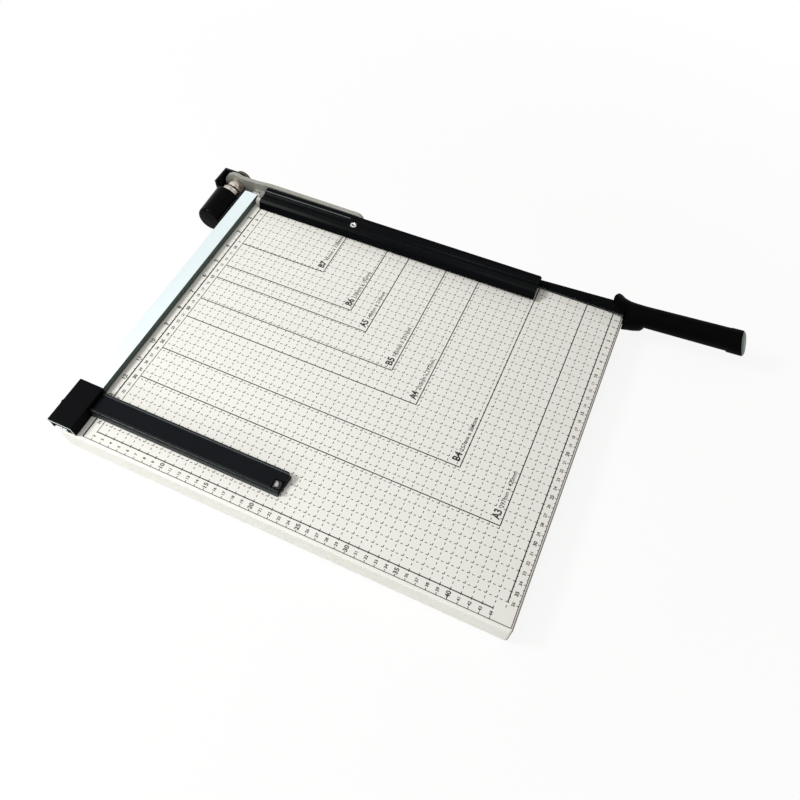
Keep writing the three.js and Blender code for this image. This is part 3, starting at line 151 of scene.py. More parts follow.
# Anodised aluminium: silver, satin, with fine drawing lines along the rail.
rail_aluminium = coated(
    "anodised_aluminium", "rail_aluminium", ("#dde7e8", "#d4dfe0"), (0.34, 0.42), 0.5, 0.003,
    stretch=(1, 0.02, 1), Metallic=1.0)
# Dark grey-green, satin, with fine drawing lines along the rail, on all faces of the rail but its top.
rail_flank = coated(
    "dark_grey_green_flank", "rail_aluminium", ("#4f5d57", "#44524c"), (0.4, 0.5), 0.5, 0.004,
    stretch=(1, 0.02, 1), sheen=0.25)
# Black stoving enamel on folded steel: smooth, half gloss, slight orange peel.
black_enamel = coated(
    "black_stoving_enamel", "black_enamel", ("#040507", "#030405"), (0.2, 0.28), 1.4, 0.012, sheen=0.03)
# Moulded ABS with a leather grain: black, blue cast, satin.
black_grained = coated(
    "black_grained_abs", "black_plastic", ("#0f1116", "#040507"), (0.4, 0.5), 1.1, 0.12, speckle=0.8,
    sheen=0.05)
# The stop's saddle: the same grained ABS, deeper black.
saddle_grained = coated(
    "black_grained_saddle", "black_plastic", ("#08090b", "#030304"), (0.4, 0.5), 1.1, 0.12, speckle=0.8,
    sheen=0.03)
# Painted highlight on black ridges and folds: dark grey with a little green.
painted_highlight_black = coated(
    "painted_highlight_black_edge", "black_plastic", ("#363c3d", "#2b3032"), (0.3, 0.4), 0.6, 0.01, drift=8, sheen=0.25)
# Painted highlight on the saddle's near end: black ABS drawn light grey.
painted_highlight_grey = coated(
    "painted_highlight_abs_edge", "black_plastic", ("#c2c6c7", "#aeb2b3"), (0.4, 0.5), 0.6, 0.01, drift=8)
# Moulded handle plastic: deep black, fine spark-eroded texture, nearly matt.
black_plastic = coated(
    "black_moulded_plastic", "black_plastic", ("#040405", "#020202"), (0.5, 0.6), 0.6, 0.01, sheen=0.02)
# Polished black plastic of the spring's cap.
gloss_plastic = coated(
    "black_polished_plastic", "black_plastic", ("#030404", "#020203"), (0.1, 0.14), 2.0, 0.01, sheen=0.035)
# Cast and tumbled zinc alloy: warm matt grey with a mottled skin.
grey_casting = coated(
    "tumbled_zinc_casting", "grey_casting", ("#a8a8a0", "#83837b"), (0.5, 0.65), 1.2, 0.06, drift=6,
    speckle=0.6, Metallic=0.6)
# Oiled steel bolt: dark brown-grey, half dull.
oiled_steel = coated(
    "oiled_steel", "grey_casting", ("#6a615b", "#544d48"), (0.35, 0.5), 1.0, 0.02, drift=6, Metallic=0.7)
# Pressed steel strip: dull grey-brown.
pressed_steel = coated(
    "pressed_steel", "grey_casting", ("#84817b", "#716e68"), (0.4, 0.5), 1.0, 0.01, drift=5, Metallic=0.5)
# Bright zinc plate on turned and pressed steel.
bright_zinc = coated(
    "bright_zinc_plate", "bright_zinc", ("#dcdbd6", "#cbcac5"), (0.14, 0.22), 0.6, 0.003, drift=8,
    Metallic=1.0)
# Nickel-plated pressed steel, with painted highlights and painted dark reflections as random patches: bright
# in some places, brown in others.
painted_reflection_nickel = coated(
    "painted_reflection_nickel_plating", "bright_zinc", ("#efe6dc", "#6b5f56"), (0.12, 0.3), 0.8, 0.004, drift=4,
    speckle=0.1, Metallic=1.0)
# Ground tool steel: fine grinding lines across the blade.
blade_steel = coated(
    "ground_tool_steel", "blade_steel", ("#c9cbcc", "#bcbec0"), (0.24, 0.34), 0.35, 0.003,
    stretch=(1, 1, 0.03), Metallic=1.0)
# Dark green enamel on the folded bracket, glossy.
green_enamel = coated(
    "dark_green_enamel", "green_enamel", ("#151a17", "#0d100e"), (0.22, 0.3), 1.4, 0.01, sheen=0.12)
# Pale green-grey moulded plastic.
pale_plastic = coated(
    "pale_moulded_plastic", "pale_plastic", ("#5c6e60", "#546658"), (0.4, 0.5), 0.5, 0.008)
# Dark smoke acrylic, polished.
clear_plastic = coated(
    "clear_acrylic", "clear_plastic", ("#24282c", "#1d2124"), (0.03, 0.06), 2.0, 0.001, IOR=1.49,
    **{"Transmission Weight": 1.0})
# Moulded rubber: dark grey, matt, dusty.
grey_rubber = coated(
    "moulded_rubber", "grey_rubber", ("#2b2b2b", "#232323"), (0.75, 0.85), 0.4, 0.02, drift=10)
# Galvanised steel sheet, spangled.
galvanised = coated(
    "galvanised_sheet", "bright_zinc", ("#b4b8b9", "#9da2a4"), (0.38, 0.5), 1.0, 0.004, drift=5,
    Metallic=1.0)


# Shapes


def placed(name, data):
    """A new object of some data, in the scene."""
    made = bpy.data.objects.new(name, data)
    bpy.context.scene.collection.objects.link(made)
    return made


def stood(name, bm):
    """A new object of a solid, in the scene."""
    mesh = bpy.data.meshes.new(name)
    bm.to_mesh(mesh)
    bm.free()
    return placed(name, mesh)


def mesh_of(made):
    """An object's mesh with its modifiers applied."""
    return bpy.data.meshes.new_from_object(made.evaluated_get(bpy.context.evaluated_depsgraph_get()))


def points(made):
    """The points among what an operator made."""
    return [v for v in made["geom"] if isinstance(v, bmesh.types.BMVert)]


def merged(bm):
    """Merges points that lie together."""
    bmesh.ops.remove_doubles(bm, verts=bm.verts, dist=MERGE)
    return bm


def outward(bm):
    """Turns the faces of a solid outwards."""
    bmesh.ops.recalc_face_normals(bm, faces=bm.faces)
    return bm


def laid(bm, axis, start):
    """Lays a solid that is drawn along Z along an axis, from a place."""
    turn = {"X": Matrix.Rotation(math.pi / 2, 4, "Y"), "Y": Matrix.Rotation(-math.pi / 2, 4, "X"),
            "Z": Matrix.Identity(4)}[axis]
    bmesh.ops.transform(bm, matrix=Matrix.Translation(start) @ turn, verts=bm.verts)
    return outward(bm)


def arc(centre, radius, start, end, steps):
    """Points of a circular arc in a plane, from one angle in degrees to another."""
    angles = [math.radians(start + (end - start) * i / steps) for i in range(steps + 1)]
    return [(centre[0] + radius * math.cos(a), centre[1] + radius * math.sin(a)) for a in angles]


def on_axis(axis, a, b, along):
    """A point from two coordinates across an axis and one along it."""
    return {"X": (along, a, b), "Y": (a, along, b), "Z": (a, b, along)}[axis]


def middle(low, high, axis):
    """The middle of a box between two corners, as the two coordinates across an axis."""
    a, b = {"X": (1, 2), "Y": (0, 2), "Z": (0, 1)}[axis]
    return (low[a] + high[a]) / 2, (low[b] + high[b]) / 2


def prism(outline, axis, low, high):
    """A solid of an outline, given in the two other coordinates, between two places along an axis."""
    bm = bmesh.new()
    face = bm.faces.new([bm.verts.new(on_axis(axis, a, b, low)) for a, b in outline])
    made = bmesh.ops.extrude_face_region(bm, geom=[face], use_keep_orig=True)
    bmesh.ops.translate(bm, verts=points(made), vec=on_axis(axis, 0, 0, high - low))
    return outward(bm)


def block(x, y, z):
    """A box between pairs of X, Y and Z."""
    return prism([(x[0], y[0]), (x[1], y[0]), (x[1], y[1]), (x[0], y[1])], "Z", *z)


def turned(profile, axis, centre, steps=48):
    """A solid of revolution. The profile is (radius, place along the axis) points; centre is across it."""
    bm = bmesh.new()
    verts = [bm.verts.new((radius, 0, along)) for radius, along in profile]
    edges = [bm.edges.new(pair) for pair in zip(verts, verts[1:])]
    bmesh.ops.spin(bm, geom=verts + edges, axis=(0, 0, 1), angle=2 * math.pi, steps=steps, use_merge=True)
    return laid(merged(bm), axis, on_axis(axis, *centre, 0))


def rod(radius, low, high):
    """The profile of a rod for turned()."""
    return [(0, low), (radius, low), (radius, high), (0, high)]


def tube(inner, outer, low, high):
    """The profile of a tube for turned()."""
    return [(inner, low), (outer, low), (outer, high), (inner, high), (inner, low)]


def round_edges(bm, radius, segments=3, least_turn=30, keep=lambda edge: True):
    """Rounds the edges that turn by more than some degrees and are picked by a test."""
    chosen = [e for e in bm.edges
              if e.is_manifold and e.calc_face_angle() > math.radians(least_turn) and keep(e)]
    bmesh.ops.bevel(bm, geom=chosen, offset=radius, offset_type="OFFSET", segments=segments, profile=0.5,
                    affect="EDGES", clamp_overlap=True, material=-1)
    return bm


def along(axis, shortest=0):
    """Picks edges that run along an axis."""
    index = "XYZ".index(axis)

    def picked(edge):
        run = edge.verts[1].co - edge.verts[0].co
        return run.length > shortest and abs(run[index]) > 0.99 * run.length
    return picked


def longer(length):
    """Picks edges longer than some millimetres."""
    return lambda edge: edge.calc_length() > length


def carve(bm, cutters, operation="DIFFERENCE"):
    """Takes cutters out of a solid, or joins them to it with UNION."""
    bench = [stood("bench", shape) for shape in [bm, *cutters]]
    for cutter in bench[1:]:
        step = bench[0].modifiers.new("carve", "BOOLEAN")
        step.operation, step.solver, step.object = operation, "EXACT", cutter
    result = mesh_of(bench[0])
    carved = bmesh.new()
    carved.from_mesh(result)
    merged(carved)
    bmesh.ops.dissolve_limit(carved, angle_limit=math.radians(0.5), verts=carved.verts, edges=carved.edges)
    for used in bench:
        bpy.data.meshes.remove(used.data)
    bpy.data.meshes.remove(result)
    return carved


def piece(name, bm, material, body, replaces=None, second=None, tilted=False):
    """Makes a shown piece of a solid, in the frame's metres, shaded smooth between its creases.

    second is another material and a test of which faces take it. tilted turns it with the resting arm."""
    if tilted:
        bm.transform(TO_REST)
    bmesh.ops.dissolve_degenerate(bm, dist=SLIVER, edges=bm.edges)
    bm.normal_update()
    for face in bm.faces:
        face.smooth = True
        face.material_index = int(bool(second and second[1](face)))
    for edge in bm.edges:
        if edge.is_manifold and edge.calc_face_angle() > math.radians(CREASE):
            edge.smooth = False
    bm.transform(TO_FRAME)
    made = stood(name, bm)
    made.data.materials.append(material)
    if second:
        made.data.materials.append(second[0])
    made.modifiers.new("even_shading", "WEIGHTED_NORMAL").keep_sharp = True
    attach(made, body)
    if replaces:
        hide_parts(replaces)
    return made


def copies(name, count):
    """The names of a fastener's nodes."""
    return [f"{name}_{i + 1}" for i in range(count)]


# Table


def make_table():
    """The folded table, with painted shade along its right bend and near right corner."""
    low, high = extent("base_table")
    corner, bend, sheet, lip = 3.5, 2.5, 1.5, 15
    bm = bmesh.new()
    bmesh.ops.create_grid(bm, x_segments=1, y_segments=1, size=0.5)
    bmesh.ops.scale(bm, vec=(high.x - low.x, high.y - low.y, 1), verts=bm.verts)
    bmesh.ops.translate(bm, vec=(*middle(low, high, "Z"), low.z), verts=bm.verts)
    bmesh.ops.bevel(bm, geom=bm.verts[:], offset=corner, offset_type="OFFSET", segments=8, profile=0.5,
                    affect="VERTICES", material=-1)
    made = bmesh.ops.extrude_face_region(bm, geom=bm.faces[:], use_keep_orig=True)
    bmesh.ops.translate(bm, verts=points(made), vec=(0, 0, high.z - low.z))
    outward(bm)

    def bent(edge):
        at_top = all(abs(v.co.z - high.z) < SAME for v in edge.verts)
        at_blade = all(abs(v.co.y - high.y) < SAME for v in edge.verts)
        return at_top and not at_blade

    round_edges(bm, bend, 6, 60, bent)
    cavity = block((low.x + sheet, high.x - sheet), (low.y + sheet, high.y - sheet),
                   (low.z + sheet, high.z - sheet))
    round_edges(cavity, bend - sheet, 3, 60)
    opening = block((low.x + lip, high.x - lip), (low.y + lip, high.y - lip),
                    (low.z - sheet, low.z + 2 * sheet))
    # Painted shade: the faces of the right bend and of the near right corner take the darker brown-grey
    # enamel.
    piece("table_shell", carve(bm, [cavity, opening]), cream_enamel, "base", "base_table",
          second=(painted_shade_enamel, lambda f: f.normal.x > 0.6 and (f.normal.z > 0.1 or f.normal.y < -0.3)
                  and f.calc_center_median().x > high.x - bend))


# The print is a film of ink, half of its thickness above the enamel, thicker than real ink so that it
# shows. Its rows are measured from a zero line that lies beyond the cut.
INK, PRINT_ZERO = 0.08, 8.0
CELL, DASH, INCH = 10.0, 2.3, 25.4
GRID_LEFT, GRID_RIGHT, GRID_FAR, GRID_NEAR = 20.0, 450.0, 10.0, 370.0
SCALE_LEFT, SCALE_RIGHT, SCALE_NEAR = 10.0, 460.0, 380.0
LONG_SCALE, SHORT_SCALE, INCH_SCALE = range(2, 45), range(2, 37), range(1, 15)
SHEETS = {"A3": (420, 297), "B4": (364, 257), "A4": (297, 210), "B5": (257, 182), "A5": (210, 148),
          "B6": (182, 128), "B7": (128, 91)}


def printed(place):
    """A printed (x, row) place on the table's top."""
    return Vector((place[0], PRINT_ZERO - place[1], 0))


def stroke(bm, start, end, width):
    """A printed line between two (x, row) places."""
    start, end = printed(start), printed(end)
    run = end - start
    bmesh.ops.create_cube(bm, size=1, matrix=Matrix.Translation((start + end) / 2)
                          @ Matrix.Rotation(math.atan2(run.y, run.x), 4, "Z")
                          @ Matrix.Diagonal((run.length, width, INK, 1)))


def letters(bm, words, size, place, weight, length=None):
    """Printed words that read away from the user, with their tops towards the rail.

    place is their middle, as (x, row). Words with a length are stretched or pressed to it."""
    text = bpy.data.curves.new("words", "FONT")
    text.body = words
    text.size = size
    text.offset = weight
    text.extrude = INK / 2
    text.resolution_u = 3
    text.align_x = text.align_y = "CENTER"
    mesh = mesh_of(placed("words", text))
    width = 1.0
    if length:
        ends = [vertex.co.x for vertex in mesh.vertices]
        width = length / (max(ends) - min(ends))
    mesh.transform(Matrix.Translation(printed(place)) @ Matrix.Rotation(math.pi / 2, 4, "Z")
                   @ Matrix.Diagonal((width, 1, 1, 1)))
    bm.from_mesh(mesh)
    bpy.data.meshes.remove(mesh)
    bpy.data.curves.remove(text)


def make_grid():
    """Centimetre cells drawn by dashes that end at each crossing, towards the rail and towards the cut."""
    width = 0.72
    rows = round((GRID_NEAR - GRID_FAR) / CELL) - 1
    columns = round((GRID_RIGHT - GRID_LEFT) / CELL)
    bm = bmesh.new()

    def repeat(count, step):
        pattern = bm.verts[:] + bm.edges[:] + bm.faces[:]
        for i in range(1, count):
            made = bmesh.ops.duplicate(bm, geom=pattern)
            bmesh.ops.translate(bm, verts=points(made), vec=Vector(step) * i)

    x, v = GRID_LEFT + CELL, GRID_NEAR - CELL
    for shift in (0, CELL / 2):
        stroke(bm, (x - shift - DASH, v), (x - shift, v), width)
        stroke(bm, (x, v - shift), (x, v - shift - DASH), width)
    repeat(columns, (CELL, 0, 0))
    repeat(rows, (0, CELL, 0))
    for i in range(columns):
        x, v = GRID_LEFT + CELL * (i + 1), GRID_NEAR - CELL / 2
        stroke(bm, (x, v), (x, v - DASH), width)
    piece("printed_grid", bm, print_ink, "base")


def make_lines():
    """The frame of the grid, the scales' lines and ticks, and the sheets' outlines.

    The strokes are drawn bolder than the real ones, so that they show."""
    strong, plain, thin = 1.45, 1.1, 0.7
    tick, long_tick = 1.2, 2.2
    inch_tick, half_tick, quarter_tick = 2.6, 1.9, 1.2
    scale_end, right_start = 440.0, GRID_FAR + 1
    half_cells, inch_quarters = range(3, 73), range(2, 58)
    bm = bmesh.new()
    stroke(bm, (SCALE_LEFT, GRID_FAR), (SCALE_LEFT, SCALE_NEAR), strong)
    stroke(bm, (GRID_LEFT, GRID_FAR), (GRID_LEFT, GRID_NEAR), thin)
    stroke(bm, (GRID_LEFT, GRID_NEAR), (scale_end, GRID_NEAR), plain)
    stroke(bm, (SCALE_LEFT, SCALE_NEAR), (SCALE_RIGHT, SCALE_NEAR), thin)
    stroke(bm, (GRID_RIGHT, right_start), (GRID_RIGHT, GRID_NEAR - CELL), plain)
    stroke(bm, (SCALE_RIGHT, right_start), (SCALE_RIGHT, SCALE_NEAR), thin)
    for sheet_long, sheet_short in SHEETS.values():
        stroke(bm, (GRID_LEFT, sheet_short), (sheet_long, sheet_short), plain)
        stroke(bm, (sheet_long, sheet_short), (sheet_long, GRID_FAR), plain)
    for n in LONG_SCALE:
        x = n * CELL
        stroke(bm, (x, GRID_NEAR - long_tick), (x, GRID_NEAR + tick), thin)
        stroke(bm, (x, SCALE_NEAR), (x, SCALE_NEAR - long_tick), thin)
    for n in half_cells:
        v = n * CELL / 2
        reach = long_tick if n % 2 == 0 else tick
        stroke(bm, (GRID_RIGHT, v), (GRID_RIGHT + tick, v), thin)
        stroke(bm, (SCALE_RIGHT - reach, v), (SCALE_RIGHT, v), thin)
        stroke(bm, (GRID_LEFT - reach / 2, v), (GRID_LEFT, v), thin)
    for n in inch_quarters:
        v = n * INCH / 4
        reach = {0: inch_tick, 2: half_tick}.get(n % 4, quarter_tick)
        stroke(bm, (SCALE_LEFT - reach, v), (SCALE_LEFT, v), thin)
    piece("printed_lines", bm, print_ink, "base")


def make_numbers():
    """Centimetre numbers on three sides, and inch numbers beside the rail."""
    near_row, left_column, right_column, inch_column = (GRID_NEAR + SCALE_NEAR) / 2, 15.4, 455.2, 5.6
    bm = bmesh.new()
    for n in LONG_SCALE:
        size, weight = (6.2, 0.2) if n % 5 == 0 and n > 5 else (4.2, 0.14)
        letters(bm, str(n), size, (n * CELL, near_row), weight)
    for n in SHORT_SCALE:
        left, right = ((5.0, 0.24), (4.8, 0.18)) if n % 5 == 0 else ((4.2, 0.14), (4.2, 0.12))
        for column, (size, weight) in ((left_column, left), (right_column, right)):
            letters(bm, str(n), size, (column, n * CELL), weight)
    for n in INCH_SCALE:
        letters(bm, str(n), size=6.4, place=(inch_column, n * INCH), weight=0.2)
    piece("printed_numbers", outward(merged(bm)), print_ink, "base")


def make_labels():
    """Each sheet's name and size, beside the corner of its outline."""
    bm = bmesh.new()
    for name, (long, short) in SHEETS.items():
        letters(bm, name, size=10.6, place=(long - 6.2, short - 10), weight=0.34, length=9.8)
        letters(bm, f"{short}mm x {long}mm", size=6.2, place=(long - 5, short - 38), weight=0.08, length=41)
    piece("printed_sheet_names", outward(merged(bm)), print_ink, "base")


def make_underside():
    """Feet, their screws, and the stiffening channels under the table."""
    recess, depth, taper, sheet = 5, 2.2, 1, 1.2
    for place in ("near_left", "near_right", "far_left", "far_right"):
        low, high = extent(f"foot_{place}")
        radius = (high.x - low.x) / 2
        bm = turned([(0, high.z), (radius, high.z), (radius, low.z + taper), (radius - taper, low.z),
                     (recess, low.z), (recess, low.z + depth), (0, low.z + depth)], "Z",
                    middle(low, high, "Z"))
        round_edges(bm, 0.35, 2)
        piece(f"rubber_foot_{place}", bm, grey_rubber, "base", f"foot_{place}")
    for i, name in enumerate(copies("foot_screw", 4)):
        low, high = extent(name)
        screw(f"foot_screw_pan_{i + 1}", name, "base", "Z", middle(low, high, "Z"), tip=high.z, top=low.z,
              shank=2, head=3.6)
    for name in ("stiffener_near", "stiffener_far"):
        low, high = extent(name)
        bm = prism([(low.y, low.z), (low.y, high.z), (high.y, high.z), (high.y, low.z),
                    (high.y - sheet, low.z), (high.y - sheet, high.z - sheet),
                    (low.y + sheet, high.z - sheet), (low.y + sheet, low.z)], "X", low.x, high.x)
        round_edges(bm, 0.5, 2, 30, along("X", 5))
        piece(f"{name}_channel", bm, galvanised, "base", name)


def screw(name, node, body, axis, centre, tip, top, shank, head, material=bright_zinc, tilted=False):
    """A cross-recess screw from its tip to the top of its head, along an axis.

    shank and head are radii."""
    way = 1 if top > tip else -1
    height = head * 0.5
    seat = top - way * height
    bm = turned([(0, tip), (shank * 0.7, tip), (shank, tip + way * shank * 0.6), (shank, seat), (head, seat),
                 (head * 0.97, top - way * height * 0.5), (head * 0.8, top - way * height * 0.15),
                 (head * 0.5, top), (0, top)], axis, centre, 32)
    arm, slot = head * 0.55, head * 0.11
    recess = []
    for half_a, half_b in ((arm, slot), (slot, arm)):
        a, b = (centre[0] - half_a, centre[0] + half_a), (centre[1] - half_b, centre[1] + half_b)
        recess.append(prism([(a[0], b[0]), (a[1], b[0]), (a[1], b[1]), (a[0], b[1])], axis,
                            *sorted((top - way * height * 0.7, top + way))))
    piece(name, carve(bm, recess), material, body, node, tilted=tilted)


# Fixed blade and guide rail


def make_fixed_blade():
    """The fixed blade, with a well for each screw's head."""
    low, high = extent("fixed_blade")
    bm = block((low.x, high.x), (low.y, high.y), (low.z, high.z))
    round_edges(bm, 0.2, 2)
    past, sink = 1, 2
    wells = []
    for name in copies("fixed_blade_screw", 4):
        screw_low, screw_high = extent(name)
        head = (screw_high.x - screw_low.x) / 2 + GAP
        wells.append(turned([(0, high.y + past), (head + past, high.y + past), (head - sink, high.y - sink),
                             (head - sink, low.y - past), (0, low.y - past)], "Y",
                            middle(screw_low, screw_high, "Y"), 32))
    piece("fixed_blade_strip", carve(bm, wells), blade_steel, "base", "fixed_blade")


def make_rail():
    """The rail, with a groove along its left flank, and a plug and a small plate in its near end."""
    low, high = extent("guide_rail")
    wall, groove, groove_low, groove_high, past = 2, 2.4, 3.2, 6, 1
    outline = [(low.x, low.z), (high.x, low.z), (high.x, high.z), (low.x, high.z), (low.x, groove_high),
               (low.x + groove, groove_high), (low.x + groove, groove_low), (low.x, groove_low)]
    bm = prism(outline, "Y", low.y, high.y)
    hollow = block((low.x + groove + wall, high.x - wall), (low.y - past, high.y + past),
                   (low.z + wall, high.z - wall))
    bm = carve(bm, [hollow])
    round_edges(bm, 0.35, 3, 40, along("Y", 10))
    piece("guide_rail_extrusion", bm, rail_flank, "base", "guide_rail",
          second=(rail_aluminium, lambda f: f.normal.z > 0.3))
    # The plug is the rail's end cap; the plate stops short of the rail's right side and top, so the plug's
    # black shows round it as painted shade of the gap under the saddle.
    plug, plate, plate_right, plate_top, apart = 0.4, 0.8, 5.3, 3.2, 0.01
    bm = block((low.x, high.x), (low.y - plug, low.y - apart), (low.z, high.z))
    round_edges(bm, 0.15, 2, 60)
    piece("guide_rail_end_plug", bm, black_plastic, "base")
    bm = block((low.x, high.x - plate_right), (low.y - plate, low.y - plug - apart),
               (low.z, high.z - plate_top))
    round_edges(bm, 0.15, 2, 60)
    piece("guide_rail_end_plate", bm, rail_aluminium, "base")


# Back stop


def make_saddle():
    """The head that rides on the rail: a saddle open below, with a shallow mouth round the rail's end."""
    low, high = extent("stop_head")
    rail_low, rail_high = extent("guide_rail")
    left, near, far, above = 1.5, 0.7, 2, 0.6
    side = low.x - left
    outside = block((side, high.x), (low.y - near, high.y + far), (low.z, high.z + above))
    round_edges(outside, 1.3, 4, 60, lambda e: not all(v.co.z < low.z + SAME for v in e.verts))
    wall, mouth, past = 1.5, 3, 5
    tunnel = block((rail_low.x - GAP, rail_high.x + GAP), (low.y - past, high.y + past),
                   (low.z - past, rail_high.z + GAP))
    opening = block((low.x + wall, high.x - wall), (low.y - past, low.y + mouth),
                    (low.z - past, high.z - wall))
    # Painted highlight: the faces of the saddle's near end take light grey.
    piece("stop_head_saddle", carve(outside, [tunnel, opening]), saddle_grained, "stop", "stop_head",
          second=(painted_highlight_grey, lambda f: f.normal.y < -0.6 and f.calc_center_median().y < low.y))
    # The small screw in its left side, as (radius, distance from the side) points.
    button = [(0, -1.7), (1.8, -1.7), (2.9, -1.1), (3.2, 0.5), (0, 0.5)]
    from_near, from_top = 23.2, 3.6
    bm = turned([(radius, side + x) for radius, x in button], "X", (low.y + from_near, high.z - from_top))
    piece("stop_head_side_screw", bm, black_plastic, "stop")


def make_stop_arm():
    """The channel across the table, with two ridges along its top and a window in its slanted end."""
    low, high = extent("stop_arm")
    window_low, window_high = extent("stop_window")
    ridge, recess, slope, foot, past = 1.4, 1.2, 0.9, 2.0, 5
    floor = high.z - recess
    section = [(low.y, low.z), (high.y, low.z), (high.y, high.z), (high.y - ridge, high.z),
               (high.y - ridge - slope, floor), (low.y + ridge + foot + slope, floor),
               (low.y + ridge + foot, high.z), (low.y + foot, high.z), (low.y + foot, low.z + foot + 1),
               (low.y + foot / 3, low.z + foot / 2)]
    bm = round_edges(prism(section, "X", low.x, high.x), 0.35, 2, 30, along("X", 100))
    notch = block((window_low.x - GAP, high.x + past), (window_low.y - GAP, window_high.y + GAP),
                  (window_low.z - GAP, high.z + past))
    wall, skin, hollow_start, hollow_end = 1.8, 2, 20, 16
    hollow = block((low.x + hollow_start, high.x - hollow_end),
                   (low.y + foot + wall, high.y - wall), (low.z - past, floor - skin))
    clip, over = 2, 0.1
    far_corner = prism([(high.x - clip, high.y + over), (high.x + over, high.y - clip),
                        (high.x + 1, high.y + 1)], "Z", low.z - 1, high.z + 1)
    slanted, slant_start = 2.6, 4
    end = prism([(high.x, high.y - slant_start), (high.x - slanted, low.y - 1), (high.x + past, low.y - 1),
                 (high.x + past, high.y - slant_start)], "Z", low.z - 1, high.z + 1)
    # Painted highlights: the slopes and bevels of the ridges and the foot take the lighter dark grey.
    piece("stop_arm_channel", carve(bm, [notch, hollow, far_corner, end]), black_grained, "stop", "stop_arm",
          second=(painted_highlight_black, lambda f: 0.3 < f.normal.z < 0.93 and abs(f.normal.x) < 0.1))
    raised, dome = 0.5, 2.2
    bm = block((window_low.x, window_high.x - slanted), (window_low.y, window_high.y),
               (window_low.z, window_high.z + raised))
    round_edges(bm, dome, 6, 60, lambda e: any(v.co.z > window_high.z for v in e.verts))
    piece("stop_window_insert", bm, clear_plastic, "stop", "stop_window")


# Pivot


def make_pivot():
    """From the back of the bracket to the user: bolt, spacer, cup, cap and the spring inside it."""
    low, high = extent("pivot_bolt")
    head, head_height, socket, socket_depth = 11, 4.7, 4, 2.6
    seat = high.y - head_height
    bm = turned([(0, low.y), (SHANK * 0.9, low.y), (SHANK, low.y + 1), (SHANK, seat), (head, seat),
                 (head, high.y - head_height * 0.5), (head * 0.97, high.y - head_height * 0.25),
                 (head * 0.88, high.y - 0.4), (head * 0.78, high.y), (0, high.y)], "Y", AXLE, 64)
    bm = carve(bm, [prism(arc(AXLE, socket, 0, 300, 5), "Y", high.y - socket_depth, high.y + 1)])
    piece("pivot_bolt_domed", bm, oiled_steel, "base", "pivot_bolt")

    # The spacer and the cup show the nickel's painted highlights and reflections as patches.
    low, high = extent("pivot_spacer")
    bm = turned(tube(BORE, (high.x - low.x) / 2, low.y, high.y), "Y", AXLE, 64)
    round_edges(bm, 0.3, 2)
    piece("pivot_spacer_ring", bm, painted_reflection_nickel, "base", "pivot_spacer")

    low, high = extent("spring_cup")
    outer, wall, roll, roll_middle = (high.x - low.x) / 2, 1.4, 1.2, 0.4
    bm = turned([(BORE, high.y), (outer - roll, high.y), (outer - roll_middle, high.y - roll_middle),
                 (outer, high.y - roll), (outer, low.y), (outer - wall, low.y),
                 (outer - wall, high.y - wall), (BORE, high.y - wall), (BORE, high.y)], "Y", AXLE, 64)
    piece("spring_cup_pressed", bm, painted_reflection_nickel, "base", "spring_cup")

    low, high = extent("spring_cap")
    wider, wall, dome, draft, rim = 0.7, 2.2, 4.4, 1.2, 0.3
    outer = (high.x - low.x) / 2 + wider
    inside = outer - wall
    nose = [(0, low.y), (outer * 0.35, low.y + 0.1), (outer * 0.6, low.y + 0.5)]
    shoulder = arc((outer - dome, low.y + dome), dome, -62, 0, 6)
    bm = turned([*nose, *shoulder, (outer + draft, high.y - rim), (outer + draft - rim, high.y),
                 (inside, high.y), (inside, low.y + dome + wall), (inside * 0.8, low.y + wall + 1),
                 (0, low.y + wall)], "Y", AXLE, 72)
    piece("spring_cap_moulded", bm, gloss_plastic, "base", "spring_cap")

    low, high = extent("pivot_spring")
    make_spring("pivot_spring_coil", "pivot_spring", "base", "Y", on_axis("Y", *AXLE, low.y),
                high.y - low.y, radius=9.2, wire=1.3, curls=7)


def make_spring(name, node, body, axis, start, length, radius, wire, curls, tilted=False):
    """A coil spring of round wire, one tube, with its ends closed."""
    steps = 28
    bm = bmesh.new()
    bmesh.ops.create_circle(bm, cap_ends=True, segments=10, radius=wire)
    bmesh.ops.rotate(bm, verts=bm.verts, matrix=Matrix.Rotation(math.pi / 2, 3, "X"))
    bmesh.ops.translate(bm, verts=bm.verts, vec=(radius, 0, wire))
    rise = (length - 2 * wire) / (curls * steps)
    first = next(iter(bm.faces))
    bmesh.ops.spin(bm, geom=[first], axis=(0, 0, 1), dvec=(0, 0, rise), angle=2 * math.pi * curls,
                   steps=curls * steps, use_duplicate=False)
    return piece(name, laid(merged(bm), axis, start), blade_steel, body, node, tilted=tilted)


